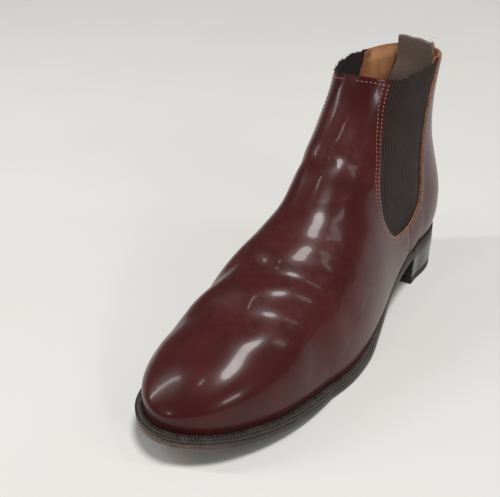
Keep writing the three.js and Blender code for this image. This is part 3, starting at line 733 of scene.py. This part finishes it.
STITCH_LENGTH, STITCH_PITCH, THREAD = 1.9, 2.6, 0.55
STITCH_DIP, STITCH_RISE = 1.1, 0.18
GORE_INSETS = (1.6, 4.2)
SEAM_INSET = 1.7
FRONT_INSET, FRONT_DROP = 4.0, 3.2  # the topline's row: from the elastic, and below the topline
BACK_INSET, BACK_DROP = -3.0, 3.0


def linen(w):
    ply = w.noise(1800, 2)
    age = w.noise(90, 2)
    colour = (ply * 0.6 + age * 0.4).between(0.3, 0.7).mix(shade(150, 100, 84), shade(205, 160, 136))
    return {"Base Color": colour, "Roughness": 0.6 + ply * 0.2, "Normal": w.bump(ply, 0.0002)}


thread = finish("tan_thread", linen)


def stitch_shape():
    """One stitch, 1 long and 1 thick: a bowed capsule whose ends dip into the leather."""
    bpy.ops.object.select_all(action="DESELECT")
    bpy.ops.mesh.primitive_uv_sphere_add(segments=6, ring_count=5, radius=0.5)
    ball = bpy.context.object
    corners = np.array([v.co for v in ball.data.vertices])
    faces = [list(p.vertices) for p in ball.data.polygons]
    bpy.data.objects.remove(ball)
    corners = corners[:, [2, 0, 1]]
    corners[:, 2] -= STITCH_DIP * (2 * corners[:, 0]) ** 4 * 0.5
    return corners, faces


stitch_corners, stitch_faces = stitch_shape()


def many_in_one(name, corners, faces, material, body):
    """One piece of many small closed shapes, their corners in millimetres on the last."""
    mesh = bpy.data.meshes.new(name)
    mesh.from_pydata(placed(corners).tolist(), [], faces)
    piece = bpy.data.objects.new(name, mesh)
    bpy.context.scene.collection.objects.link(piece)
    closed(piece, merge=False)
    bpy.ops.object.shade_smooth()
    mesh.materials.append(material)
    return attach(piece, body)


def sewn(name, rows, material, length=STITCH_LENGTH, pitch=STITCH_PITCH, size=THREAD):
    """Stitches along rows of points with the directions out of the surface there."""
    corners, faces = [], []
    for line, out in rows:
        total = np.linalg.norm(np.diff(line, axis=0), axis=1).sum()
        count = max(2, int(total / pitch))
        middles = divided(np.hstack([line, out]), (np.arange(count) + 0.5) / count)
        before = divided(np.hstack([line, out]), (np.arange(count) + 0.4) / count)
        for here, there in zip(middles, before):
            along = here[:3] - there[:3]
            along = along / np.linalg.norm(along)
            up = here[3:] - along * (here[3:] @ along)
            up = up / np.linalg.norm(up)
            frame_of = np.stack([along * length, np.cross(up, along) * size, up * size])
            start = len(corners) * len(stitch_corners)
            corners.append(here[:3] + up * size * STITCH_RISE + stitch_corners @ frame_of)
            faces += [[start + i for i in face] for face in stitch_faces]
    return many_in_one(name, np.vstack(corners), faces, material, "boot")


def on_leather(line, side):
    """A side view line as points on the creased leather, with the directions out of it."""
    points, out = on_last(line[:, 0], line[:, 1], side)
    moved, _ = creased(points)
    return points + out * moved[:, None], out


gore_rows, seam_rows, top_rows = [], [], []
for side in (1, -1):
    for inset in GORE_INSETS:
        for edge, turn in ((vamp_edge[2:], -1), (quarter_edge[2:], 1)):
            line = grown(divided(edge, np.linspace(0.015, 0.985, 160)), turn * inset)
            gore_rows.append(on_leather(line, side))
    line = divided(seam_line, np.linspace(0.06, 0.86, 30)) - (SEAM_INSET, 0)
    seam_rows.append(on_leather(line, side))
    for ridge, edge, inset, drop in ((ridge_line, vamp_edge, FRONT_INSET, FRONT_DROP),
                                     (heel_line, quarter_edge, BACK_INSET, BACK_DROP)):
        above = ridge[:, 1] - topline(ridge[:, 0]) + drop
        i = np.nonzero(above > 0)[0][0]
        at_ridge = np.interp(0, above[i - 1:i + 1], ridge[i - 1:i + 1, 0])
        s = at_ridge + (edge[-1, 0] + inset - at_ridge) * np.linspace(0.03, 1, 90) ** 2
        top_rows.append(on_leather(np.stack([s, topline(s) - drop], -1), side))
sewn("gore_stitching", gore_rows, thread)
sewn("seam_stitching", seam_rows, thread)
sewn("topline_stitching", top_rows, thread)


# ---- Outsole ----
# Oak-bark leather, dyed nearly black on its trimmed and waxed edge, and worn pale under the toe.
# It follows the feather line from heel to toe and is trimmed flush with the welt.

SOLE_TOP, SOLE_BOTTOM = 3.0, 7.0  # below the feather line
SOLE_SPINE, SOLE_SOFT = (22, 282), 0.7
FRONT_REACH, REACH_FROM, REACH_RUN = 0.8, 135, 30  # the sole stands out further in front of the waist
margin = curve([(0, 1.2), (60, 1.2), (110, 0.3), (160, 2.8), (220, 4.2), (305, 4.2)])
STATIONS = 260


def feather_plan():
    """The upper's lower edge seen from below: (x, s) from the heel, round the outer side and back."""
    spread = 1 - np.cos(np.pi * np.linspace(0, 1, STATIONS))
    s = heel_line[0, 0] + (ridge_line[0, 0] - heel_line[0, 0]) * spread / 2
    outer = np.stack([surface_x(s, feather(s), 1), s], -1)
    inner = np.stack([surface_x(s, feather(s), -1), s], -1)
    outer[0] = inner[0] = (centre_line(s[0]), s[0])
    outer[-1] = inner[-1] = (centre_line(s[-1]), s[-1])
    return np.vstack([outer, inner[-2:0:-1]])


def plan_out(plan):
    run = np.roll(plan, -1, axis=0) - np.roll(plan, 1, axis=0)
    run /= np.linalg.norm(run, axis=1, keepdims=True)
    return np.stack([run[:, 1], -run[:, 0]], -1)


upper_plan = feather_plan()
upper_plan_out = plan_out(upper_plan)
sole_reach = margin(upper_plan[:, 1]) + FRONT_REACH * eased((upper_plan[:, 1] - REACH_FROM) / REACH_RUN)
sole_plan = upper_plan + upper_plan_out * sole_reach[:, None]


def slab_piece(name, plan, top, bottom, spine, soft):
    """A solid under a plan: soft edges round it, and faces that run in to a line along its middle,
    its spine, which goes from one s to another. Its top and bottom are heights worked out from s."""
    out = plan_out(plan)
    turns = np.radians([0, 30, 60, 90])
    target_s = np.clip(plan[:, 1], *spine)
    target = np.stack([centre_line(target_s), target_s], -1)

    def ring(inset, face, rise):
        where = plan - out * inset
        return np.column_stack([where, face(where[:, 1]) + rise])

    def inside(share, face):
        where = plan + (target - plan) * share
        return np.column_stack([where, face(where[:, 1])])

    rows = [inside(share, top) for share in (1, 0.66, 0.33)]
    rows += [ring(soft * (1 - math.sin(a)), top, -soft * (1 - math.cos(a))) for a in turns]
    rows += [ring(soft * (1 - math.cos(a)), bottom, soft * (1 - math.sin(a))) for a in turns]
    rows += [inside(share, bottom) for share in (0.33, 0.66, 1)]
    rows = np.stack([np.vstack([row, row[:1]]) for row in rows])
    return smooth(closed(grid_piece(name, rows)), 35)


def under(depth):
    return lambda s: feather(s) - depth


TOE_WEAR = (-0.128, -0.156)  # in the boot's Y, from none to full


def sole_leather(w):
    place = w.node("ShaderNodeTexCoord", out="Object")
    layers = w.noise(420, 3, stretch=(0.25, 0.25, 3))
    scuff = w.noise(70, 4)
    speck = w.noise(900, 2)
    height = w.node("ShaderNodeSeparateXYZ", {}, {"Vector": place}, out="Z")
    colour = (layers * 0.6 + speck * 0.4).between(0.3, 0.7).mix(shade(34, 27, 26), shade(62, 50, 47))
    colour = (scuff.between(0.55, 0.75) * 0.6).mix(colour, shade(92, 72, 62))
    toe_worn = w.node("ShaderNodeSeparateXYZ", {}, {"Vector": place}, out="Y").between(*TOE_WEAR)
    colour = (toe_worn * speck.between(0.35, 0.6) * 0.8).mix(colour, shade(128, 96, 74))
    rough = 0.34 + layers * 0.16 + scuff * 0.2 + height * 0.1
    return {"Base Color": colour, "Roughness": rough, "Normal": w.bump(layers + speck * 0.5, 0.0002)}


edge_leather = finish("waxed_sole_edge", sole_leather, Coat_Weight=0.15, Coat_Roughness=0.3)
outsole = slab_piece("outsole_leather", sole_plan, under(SOLE_TOP), under(SOLE_BOTTOM), SOLE_SPINE,
                     SOLE_SOFT)
fitted(dressed(outsole, edge_leather), "sole_leather", "outsole")


# ---- Welt and rand ----
# A strip of black leather sewn to the upper and showing round it, its top fudged into fine ridges
# by a hot wheel between the stitches. A plain strip, the rand, carries on round the heel.

WELT_TOP, WELT_BOTTOM = 0.3, 2.7  # below the feather line
WELT_TUCK = 6  # how far it reaches under the upper
WELT_FALL, EDGE_ROUND = 0.25, 0.3  # its top falls to its edge, and the edge is rounded
RIDGE_PITCH, RIDGE_HEIGHT, VALLEY_DEPTH = 1.9, 0.5, 0.2
HEEL_BREAST, STRIP_GAP = 61, 0.15
WELT_STITCH_START, WELT_STITCH_AT = HEEL_BREAST + 30, 0.66
WELT_STITCH_LENGTH, WELT_THREAD, THREAD_SUNK = 1.5, 0.6, 0.1


def strip(name, keep, ridges):
    """A strip round the upper's plan, for the places that keep allows, with closed ends."""
    order = np.nonzero(keep(upper_plan[:, 1]))[0]
    breaks = np.nonzero(np.diff(order) > 1)[0]
    if len(breaks):
        order = np.r_[order[breaks[0] + 1:], order[:breaks[0] + 1]]
    both = np.hstack([upper_plan, upper_plan_out, sole_reach[:, None]])[order]
    length = np.linalg.norm(np.diff(both[:, :2], axis=0), axis=1).sum()
    lines = np.r_[0, np.cumsum(np.linalg.norm(np.diff(both[:, :2], axis=0), axis=1))] / length
    share = np.linspace(0, 1, int(length / (RIDGE_PITCH / 5)) if ridges else 200)
    both = np.stack([np.interp(share, lines, column) for column in both.T], -1)
    across = np.r_[-WELT_TUCK, -3, -1, np.linspace(-0.4, 1, 11)]
    wave = (0.5 + 0.5 * np.cos(share * length / RIDGE_PITCH * 2 * np.pi)) ** 2
    rows = []
    for a in across:
        reach = np.where(a < 0, a, a * (both[:, 4] - EDGE_ROUND))
        drop = WELT_TOP + (WELT_FALL * a if a > 0 else 0)
        ridge = RIDGE_HEIGHT * ridges * wave * eased((a - 0.1) / 0.2) * (1 - eased((a - 0.88) / 0.12))
        rows.append((reach, -drop + ridge - VALLEY_DEPTH * ridges * eased((a - 0.1) / 0.2)))
    for inset, down in ((0.12, 0.25), (0, 0.5), (0, 1.4), (0, 2.1), (EDGE_ROUND, WELT_BOTTOM - WELT_TOP)):
        rows.append((both[:, 4] - inset, np.full(len(both), -WELT_TOP - down)))
    rows.append((np.full(len(both), -float(WELT_TUCK)), np.full(len(both), -WELT_BOTTOM)))
    rows.append(rows[0])
    made = []
    for reach, rise in rows:
        where = both[:, :2] + both[:, 2:4] * np.broadcast_to(reach, len(both))[:, None]
        made.append(np.column_stack([where, feather(where[:, 1]) + rise]))
    made = np.stack(made)
    start, end = (np.broadcast_to(made[:, i].mean(0), (len(made), 1, 3)) for i in (0, -1))
    return smooth(closed(grid_piece(name, np.concatenate([start, made, end], axis=1))), 60)


def welt_leather(w):
    speck = w.noise(700, 3)
    dust = w.noise(110, 3)
    colour = speck.between(0.3, 0.7).mix(shade(24, 20, 20), shade(52, 45, 42))
    colour = (dust.between(0.5, 0.75) * 0.4).mix(colour, shade(88, 78, 70))
    return {"Base Color": colour, "Roughness": 0.36 + speck * 0.25, "Normal": w.bump(speck, 0.00025)}


black_welt = finish("black_welt", welt_leather)
welt = strip("welt_strip", lambda s: s > HEEL_BREAST + STRIP_GAP, 1)
rand = strip("rand_strip", lambda s: s < HEEL_BREAST - STRIP_GAP, 0)
fitted(dressed(welt, black_welt), "sole_leather", "welt")
fitted(dressed(rand, black_welt), "sole_leather", "heel_rand")


def waxed_linen(w):
    ply = w.noise(1500, 2)
    colour = ply.between(0.3, 0.7).mix(shade(74, 65, 57), shade(118, 104, 90))
    return {"Base Color": colour, "Roughness": 0.5 + ply * 0.3, "Normal": w.bump(ply, 0.0002)}


welt_thread = finish("waxed_thread", waxed_linen)
stitched = upper_plan[:, 1] > WELT_STITCH_START
welt_line = upper_plan[stitched] + upper_plan_out[stitched] * (sole_reach[stitched] * WELT_STITCH_AT)[:, None]
welt_line = np.hstack([welt_line, feather(welt_line[:, 1])[:, None] - WELT_TOP - THREAD_SUNK])
sewn("welt_stitching", [(welt_line, np.tile([0, 0, 1.0], (len(welt_line), 1)))], welt_thread,
     length=WELT_STITCH_LENGTH, pitch=RIDGE_PITCH, size=WELT_THREAD)


# ---- Heel ----
# A stack of leather lifts, trimmed in line with the sole, stained black and burnished, on a rubber
# top piece. The lifts' joins show as fine lines, and the front face is cut straight across.

# the bottom and top of each layer above the ground, and the height at which its plan is taken
TREAD, LIFT_1, LIFT_2 = (0, 6, 3), (6.1, 11.25, 8.7), (11.3, 16.35, 13.8)
WEDGE_BOTTOM, WEDGE_GAP = 16.4, 0.05
TREAD_SOFT, LIFT_SOFT = 0.5, 0.2
HEEL_SPINE = (24, 46)
HEEL_TAPER = 1
heel_top = float(feather(0)) - SOLE_BOTTOM


def heel_plan(z):
    """The sole's back part, drawn in towards the ground, and closed by the straight heel breast."""
    drawn = HEEL_TAPER * (1 - z / heel_top)
    plan = sole_plan - plan_out(sole_plan) * drawn

    def to_breast(side):
        behind = side[side[:, 1] < HEEL_BREAST]
        after = side[len(behind)]
        t = (HEEL_BREAST - behind[-1, 1]) / (after[1] - behind[-1, 1])
        return np.vstack([behind, behind[-1] + t * (after - behind[-1])])

    outer = to_breast(plan[:STATIONS])
    inner = to_breast(np.vstack([plan[:1], plan[:STATIONS - 1:-1]]))
    front = outer[-1] + (inner[-1] - outer[-1]) * np.linspace(0, 1, 40)[1:-1, None]
    return np.vstack([outer, front, inner[:0:-1]])


def stacked_leather(w):
    layers = w.noise(520, 3, stretch=(0.15, 0.15, 2.5))
    speck = w.noise(1000, 2)
    scratch = w.noise(90, 4, stretch=(1, 1, 0.5))
    colour = (layers * 0.7 + speck * 0.3).between(0.3, 0.7).mix(shade(26, 22, 22), shade(50, 42, 40))
    colour = (scratch.between(0.56, 0.72) * 0.4).mix(colour, shade(84, 74, 68))
    return {"Base Color": colour, "Roughness": 0.2 + layers * 0.14 + scratch * 0.12,
            "Normal": w.bump(layers + speck * 0.3, 0.00012)}


def tread_rubber(w):
    speck = w.noise(1200, 2)
    scuff = w.noise(120, 4)
    colour = (speck * 0.5 + scuff * 0.5).between(0.35, 0.7).mix(shade(22, 21, 21), shade(58, 54, 52))
    return {"Base Color": colour, "Roughness": 0.55 + scuff * 0.3, "Normal": w.bump(speck, 0.0002)}


stack_stain = finish("stained_stack", stacked_leather, Coat_Weight=0.35, Coat_Roughness=0.18)
black_rubber = finish("black_rubber", tread_rubber)


def flat(z):
    return lambda s: np.full(np.shape(s), float(z))


def heel_layer(name, bottom, top, plan_height, soft, material, slot, node):
    piece = slab_piece(name, heel_plan(plan_height), top, bottom, HEEL_SPINE, soft)
    return fitted(dressed(piece, material), slot, node)


def level_layer(name, heights, *rest):
    bottom, top, plan_height = heights
    return heel_layer(name, flat(bottom), flat(top), plan_height, *rest)


level_layer("tread_piece", TREAD, TREAD_SOFT, black_rubber, "rubber", "top_piece")
level_layer("lift_1", LIFT_1, LIFT_SOFT, stack_stain, "heel_leather", "heel_lift_1")
level_layer("lift_2", LIFT_2, LIFT_SOFT, stack_stain, "heel_leather", "heel_lift_2")
heel_layer("lift_3", flat(WEDGE_BOTTOM), under(SOLE_BOTTOM + WEDGE_GAP), heel_top, LIFT_SOFT, stack_stain,
           "heel_leather", "heel_lift_3")


# ---- Pull tab ----
# A strip of brown-grey cotton webbing, folded double and sewn inside the back, with a loose loop
# above its seam. Its outer corner has frayed and shows pale yarn.

TAB_PLY = 1.1
TAB_ROWS, TAB_COLUMNS, FOLD_STEPS = 46, 40, 10
TAB_LEAN_FROM, TAB_LEAN_RUN = 138, 22
TAB_SAG_FROM, TAB_SAG_RUN = 148, 26
tab_low, tab_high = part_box("pull_tab")
foot_low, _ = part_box("pull_tab_foot")


def tab_weave(w):
    place = w.node("ShaderNodeTexCoord", out="Object")
    warp, weft = (w.node("ShaderNodeTexWave", {"bands_direction": direction},
                         {"Vector": place, "Scale": threads, "Distortion": 0.4})
                  for direction, threads in (("X", 260), ("Z", 300)))
    weave = warp * 0.5 + weft * 0.5
    cloud = w.noise(90, 3)
    colour = weave.mix(shade(108, 89, 81), shade(148, 128, 118))
    colour = (cloud.between(0.45, 0.75) * 0.4).mix(colour, shade(124, 100, 86))
    return {"Base Color": colour, "Roughness": 0.82 + weave * 0.1, "Normal": w.bump(weave, 0.0003)}


tab_webbing = finish("cotton_webbing", tab_weave, Sheen_Weight=0.2, Sheen_Roughness=0.5)
ply_back = 1000 * tab_high.y - TAB_PLY / 2
ply_front = 1000 * tab_low.y + TAB_PLY / 2
fold_radius = (ply_back - ply_front) / 2
fold_top = 1000 * tab_high.z - TAB_PLY / 2 - fold_radius
up = np.linspace(1000 * foot_low.z, fold_top, TAB_ROWS)
turns = np.linspace(0, np.pi, FOLD_STEPS + 1)[1:-1]
fold_y = (ply_back + ply_front) / 2 + fold_radius * np.cos(turns)
loop_y = np.r_[np.full(TAB_ROWS, ply_back), fold_y, np.full(TAB_ROWS, ply_front)]
loop_z = np.r_[up, fold_top + fold_radius * np.sin(turns), up[::-1]]
tab_x = np.linspace(1000 * tab_low.x, 1000 * tab_high.x, TAB_COLUMNS)
grid_x, grid_y = np.meshgrid(tab_x, loop_y)
grid_z = np.repeat(loop_z[:, None], TAB_COLUMNS, axis=1)
# above its seam the loop leans to the outer side and twists, and its top has sagged
free = eased((grid_z - TAB_SAG_FROM) / TAB_SAG_RUN)
edge_share = (grid_x - tab_x.mean()) / (tab_x[-1] - tab_x[0]) * 2
leaning = eased((grid_z - TAB_LEAN_FROM) / TAB_LEAN_RUN)
grid_x = grid_x + leaning * (5.0 + 1.0 * edge_share)
grid_y = grid_y + 1.2 * (1 - edge_share ** 2) * leaning - 4.6 * leaning * edge_share
grid_z = grid_z - free * (1.6 + 0.8 * edge_share + 0.5 * edge_share ** 2)
grid_z = grid_z + 0.25 * free * np.sin(edge_share * 7)
tab_points = np.stack([grid_x + LAST_CENTRE, LAST_HEEL - grid_y, grid_z - LAST_LIFT], -1)
tab = grid_piece("pull_tab_webbing", tab_points)
modified(tab, "SOLIDIFY", thickness=TAB_PLY / 1000, offset=0)
dressed(smooth(tab, 50), tab_webbing)
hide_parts("pull_tab", "pull_tab_foot")
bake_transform(tab)


# ---- Frayed yarn ----
# Ends of yarn that have worked loose: along the cut tops of the elastics, and in a tuft of pale
# cotton at the outer corner of the pull tab.

FUZZ_EACH, FUZZ_EDGE, FUZZ_THICK = 150, 14, 0.2
TUFT, TUFT_ROW, TUFT_THICK = 60, 50, 0.3
RINGS, SIDES = 5, 4


def loose_yarn(dark, pale):
    def build(w):
        ply = w.noise(2200, 2)
        return {"Base Color": ply.between(0.3, 0.7).mix(dark, pale), "Roughness": 0.75 + ply * 0.2}
    return build


dark_fuzz = finish("loose_elastic_yarn", loose_yarn(shade(44, 36, 34), shade(96, 82, 76)))
pale_fuzz = finish("loose_cotton_yarn", loose_yarn(shade(150, 118, 86), shade(206, 178, 142)))
draw = np.random.default_rng(7)


def frayed(name, roots, directions, lengths, thick, material, body):
    """Short curled ends of yarn as thin four-sided tubes that narrow to their tips."""
    corners, faces = [], []
    for root, toward, length in zip(roots, directions, lengths):
        toward = toward / np.linalg.norm(toward)
        curl = np.cross(toward, draw.normal(size=3))
        curl /= np.linalg.norm(curl)
        other = np.cross(toward, curl)
        bend = draw.uniform(-0.5, 0.5, 2)
        start = len(corners)
        for t in np.linspace(0, 1, RINGS):
            middle = root + length * (t * toward + t * t * (bend[0] * curl + bend[1] * other))
            size = thick / 2 * (1 - 0.6 * t)
            for a in range(SIDES):
                turn = a * 2 * math.pi / SIDES
                corners.append(middle + size * (math.cos(turn) * curl + math.sin(turn) * other))
        for low in range(start, start + (RINGS - 1) * SIDES, SIDES):
            high = low + SIDES
            for a in range(SIDES):
                faces.append([low + a, low + (a + 1) % SIDES, high + (a + 1) % SIDES, high + a])
        faces += [list(range(start + SIDES - 1, start - 1, -1)), list(range(high, high + SIDES))]
    return many_in_one(name, np.array(corners), faces, material, body)


gore_roots, gore_ways = [], []
for side in (1, -1):
    for pick in draw.uniform(FUZZ_EDGE, GORE_COLUMNS - FUZZ_EDGE, FUZZ_EACH):
        root = gore_tops[side][int(pick)] + (0, 0, -0.4)
        gore_roots.append(root + draw.normal(scale=(0.25, 0.3, 0.1)))
        gore_ways.append(np.array([draw.normal(scale=0.7), draw.normal(scale=0.7), 1.0]))
gore_lengths = draw.uniform(0.6, 1.9, len(gore_roots))
frayed("gore_fraying", gore_roots, gore_ways, gore_lengths, FUZZ_THICK, dark_fuzz, "boot")
corner = tab_points[TUFT_ROW, -1] + (-0.6, 0, -3)
tuft_roots = corner + draw.normal(scale=(0.5, 0.7, 2.2), size=(TUFT, 3))
tuft_x = draw.uniform(0.1, 1, TUFT)
tuft_s = draw.normal(scale=0.5, size=TUFT)
tuft_z = draw.normal(scale=0.6, size=TUFT)
tuft_ways = np.stack([tuft_x, tuft_s, tuft_z], -1)
tuft_lengths = draw.uniform(0.8, 2.6, TUFT)
frayed("tab_fraying", tuft_roots, tuft_ways, tuft_lengths, TUFT_THICK, pale_fuzz, "pull_loop")


# ---- Hidden parts ----
# What a welted boot has under the foot and behind the leather: board, rib, cork, a steel shank,
# nails, a sock lining, and the stiffeners of toe and heel.

def fibre_board(w):
    fibre = w.noise(600, 4, stretch=(1, 0.3, 1))
    return {"Base Color": fibre.between(0.3, 0.7).mix(shade(150, 118, 84), shade(196, 166, 128)),
            "Roughness": 0.7 + fibre * 0.2, "Normal": w.bump(fibre, 0.0003)}


def moulded_fibre(w):
    fibre = w.noise(500, 4)
    return {"Base Color": fibre.between(0.3, 0.7).mix(shade(196, 182, 152), shade(226, 216, 194)),
            "Roughness": 0.7 + fibre * 0.2, "Normal": w.bump(fibre, 0.0003)}


def ground_cork(w):
    place = w.node("ShaderNodeTexCoord", out="Object")
    grains = w.node("ShaderNodeTexVoronoi", {}, {"Vector": place, "Scale": 420}, out="Color")
    shade_of = w.node("ShaderNodeSeparateColor", {}, {"Color": grains})
    return {"Base Color": shade_of.mix(shade(104, 68, 40), shade(168, 120, 76)),
            "Roughness": 0.8 + shade_of * 0.15, "Normal": w.bump(shade_of, 0.0004)}


def drawn_steel(w):
    brushed = w.noise(900, 2, stretch=(1, 0.1, 1))
    return {"Base Color": brushed.mix(shade(120, 120, 124), shade(170, 170, 174)),
            "Roughness": 0.3 + brushed * 0.2}


board = finish("insole_board", fibre_board)
fibre = finish("moulded_stiffener", moulded_fibre)
cork = finish("ground_cork", ground_cork)
steel = finish("drawn_steel", drawn_steel, Metallic=1.0)
for material, names in ((board, ("insole", "insole_rib")), (tan_lining, ("sock_lining",)),
                        (fibre, ("toe_puff", "heel_counter")), (cork, ("cork_filler",)),
                        (steel, ("shank", *(f"heel_nail_{i}" for i in range(1, 6))))):
    for name in names:
        dressed(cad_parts[name], material)


# ---- The room ----
# A plain pale table in broad soft daylight from above. Two windows, a tall gap between blinds and
# two small lamps stand round it, and give the polished leather its highlights.

TABLE_SIZE = 8
SKY, SKY_STRENGTH = (0.95, 0.97, 1, 1), 0.14
BACKDROP = (0.8, 0.79, 0.76, 1)  # what is seen past the table's edge
DAYLIGHT, DAYLIGHT_SPREAD = 2.0, math.radians(17)
DAYLIGHT_TURN = (math.radians(13), 0, math.radians(85))
BOOT_MIDDLE = np.array([0, 0, 0.07])


def pale_table(w):
    cloud = w.noise(6, 3)
    fine_grain = w.noise(700, 2)
    colour = (cloud * 0.7 + fine_grain * 0.3).mix(shade(226, 224, 219), shade(236, 234, 230))
    return {"Base Color": colour, "Roughness": 0.55 + fine_grain * 0.1}


table_top = finish("pale_table", pale_table)
bpy.ops.object.select_all(action="DESELECT")
bpy.ops.mesh.primitive_plane_add(size=TABLE_SIZE, location=(0, 0, 0))
table = bpy.context.object
table.name = "table"
table.data.materials.append(table_top)

sky = bpy.data.worlds.new("daylight")
sky.use_nodes = True
sky_tree = sky.node_tree
light_of_sky = sky_tree.nodes["Background"]
light_of_sky.inputs["Color"].default_value = SKY
light_of_sky.inputs["Strength"].default_value = SKY_STRENGTH
backdrop = sky_tree.nodes.new("ShaderNodeBackground")
backdrop.inputs["Color"].default_value = BACKDROP
split = sky_tree.nodes.new("ShaderNodeMixShader")
ray = sky_tree.nodes.new("ShaderNodeLightPath")
sky_tree.links.new(ray.outputs["Is Camera Ray"], split.inputs[0])
sky_tree.links.new(light_of_sky.outputs[0], split.inputs[1])
sky_tree.links.new(backdrop.outputs[0], split.inputs[2])
sky_tree.links.new(split.outputs[0], sky_tree.nodes["World Output"].inputs["Surface"])
bpy.context.scene.world = sky
bpy.context.scene.view_settings.view_transform = "Standard"


def lamp(name, turned, raised, away, width, height, power):
    """A soft lamp that faces the boot: turned from the toe's side towards the outer side, in degrees."""
    light = bpy.data.lights.new(name, "AREA")
    light.shape, light.size, light.size_y, light.energy = "RECTANGLE", width, height, power
    holder = bpy.data.objects.new(name, light)
    bpy.context.scene.collection.objects.link(holder)
    turned, raised = math.radians(turned), math.radians(raised)
    level = math.cos(raised)
    back = np.array([math.sin(turned) * level, -math.cos(turned) * level, math.sin(raised)])
    right = np.cross((0, 0, 1), back)
    right /= np.linalg.norm(right)
    turn = Matrix(np.array([right, np.cross(back, right), back]).T.tolist())
    holder.matrix_world = Matrix.Translation(BOOT_MIDDLE + back * away) @ turn.to_4x4()


ceiling_data = bpy.data.lights.new("ceiling", "SUN")
ceiling_data.energy, ceiling_data.angle = DAYLIGHT, DAYLIGHT_SPREAD
ceiling = bpy.data.objects.new("ceiling", ceiling_data)
ceiling.rotation_euler = DAYLIGHT_TURN
bpy.context.scene.collection.objects.link(ceiling)
lamp("side_window", 66, 23, 1.7, 0.45, 0.2, 4.5)
lamp("back_window", 108, 44, 1.7, 0.22, 0.7, 2.5)
lamp("tall_gap", -60, 36, 1.7, 0.10, 1.0, 6.5)
lamp("front_lamp", -23, 25, 1.6, 0.13, 0.13, 0.9)
lamp("high_lamp", -23, 67, 1.6, 0.12, 0.12, 0.7)
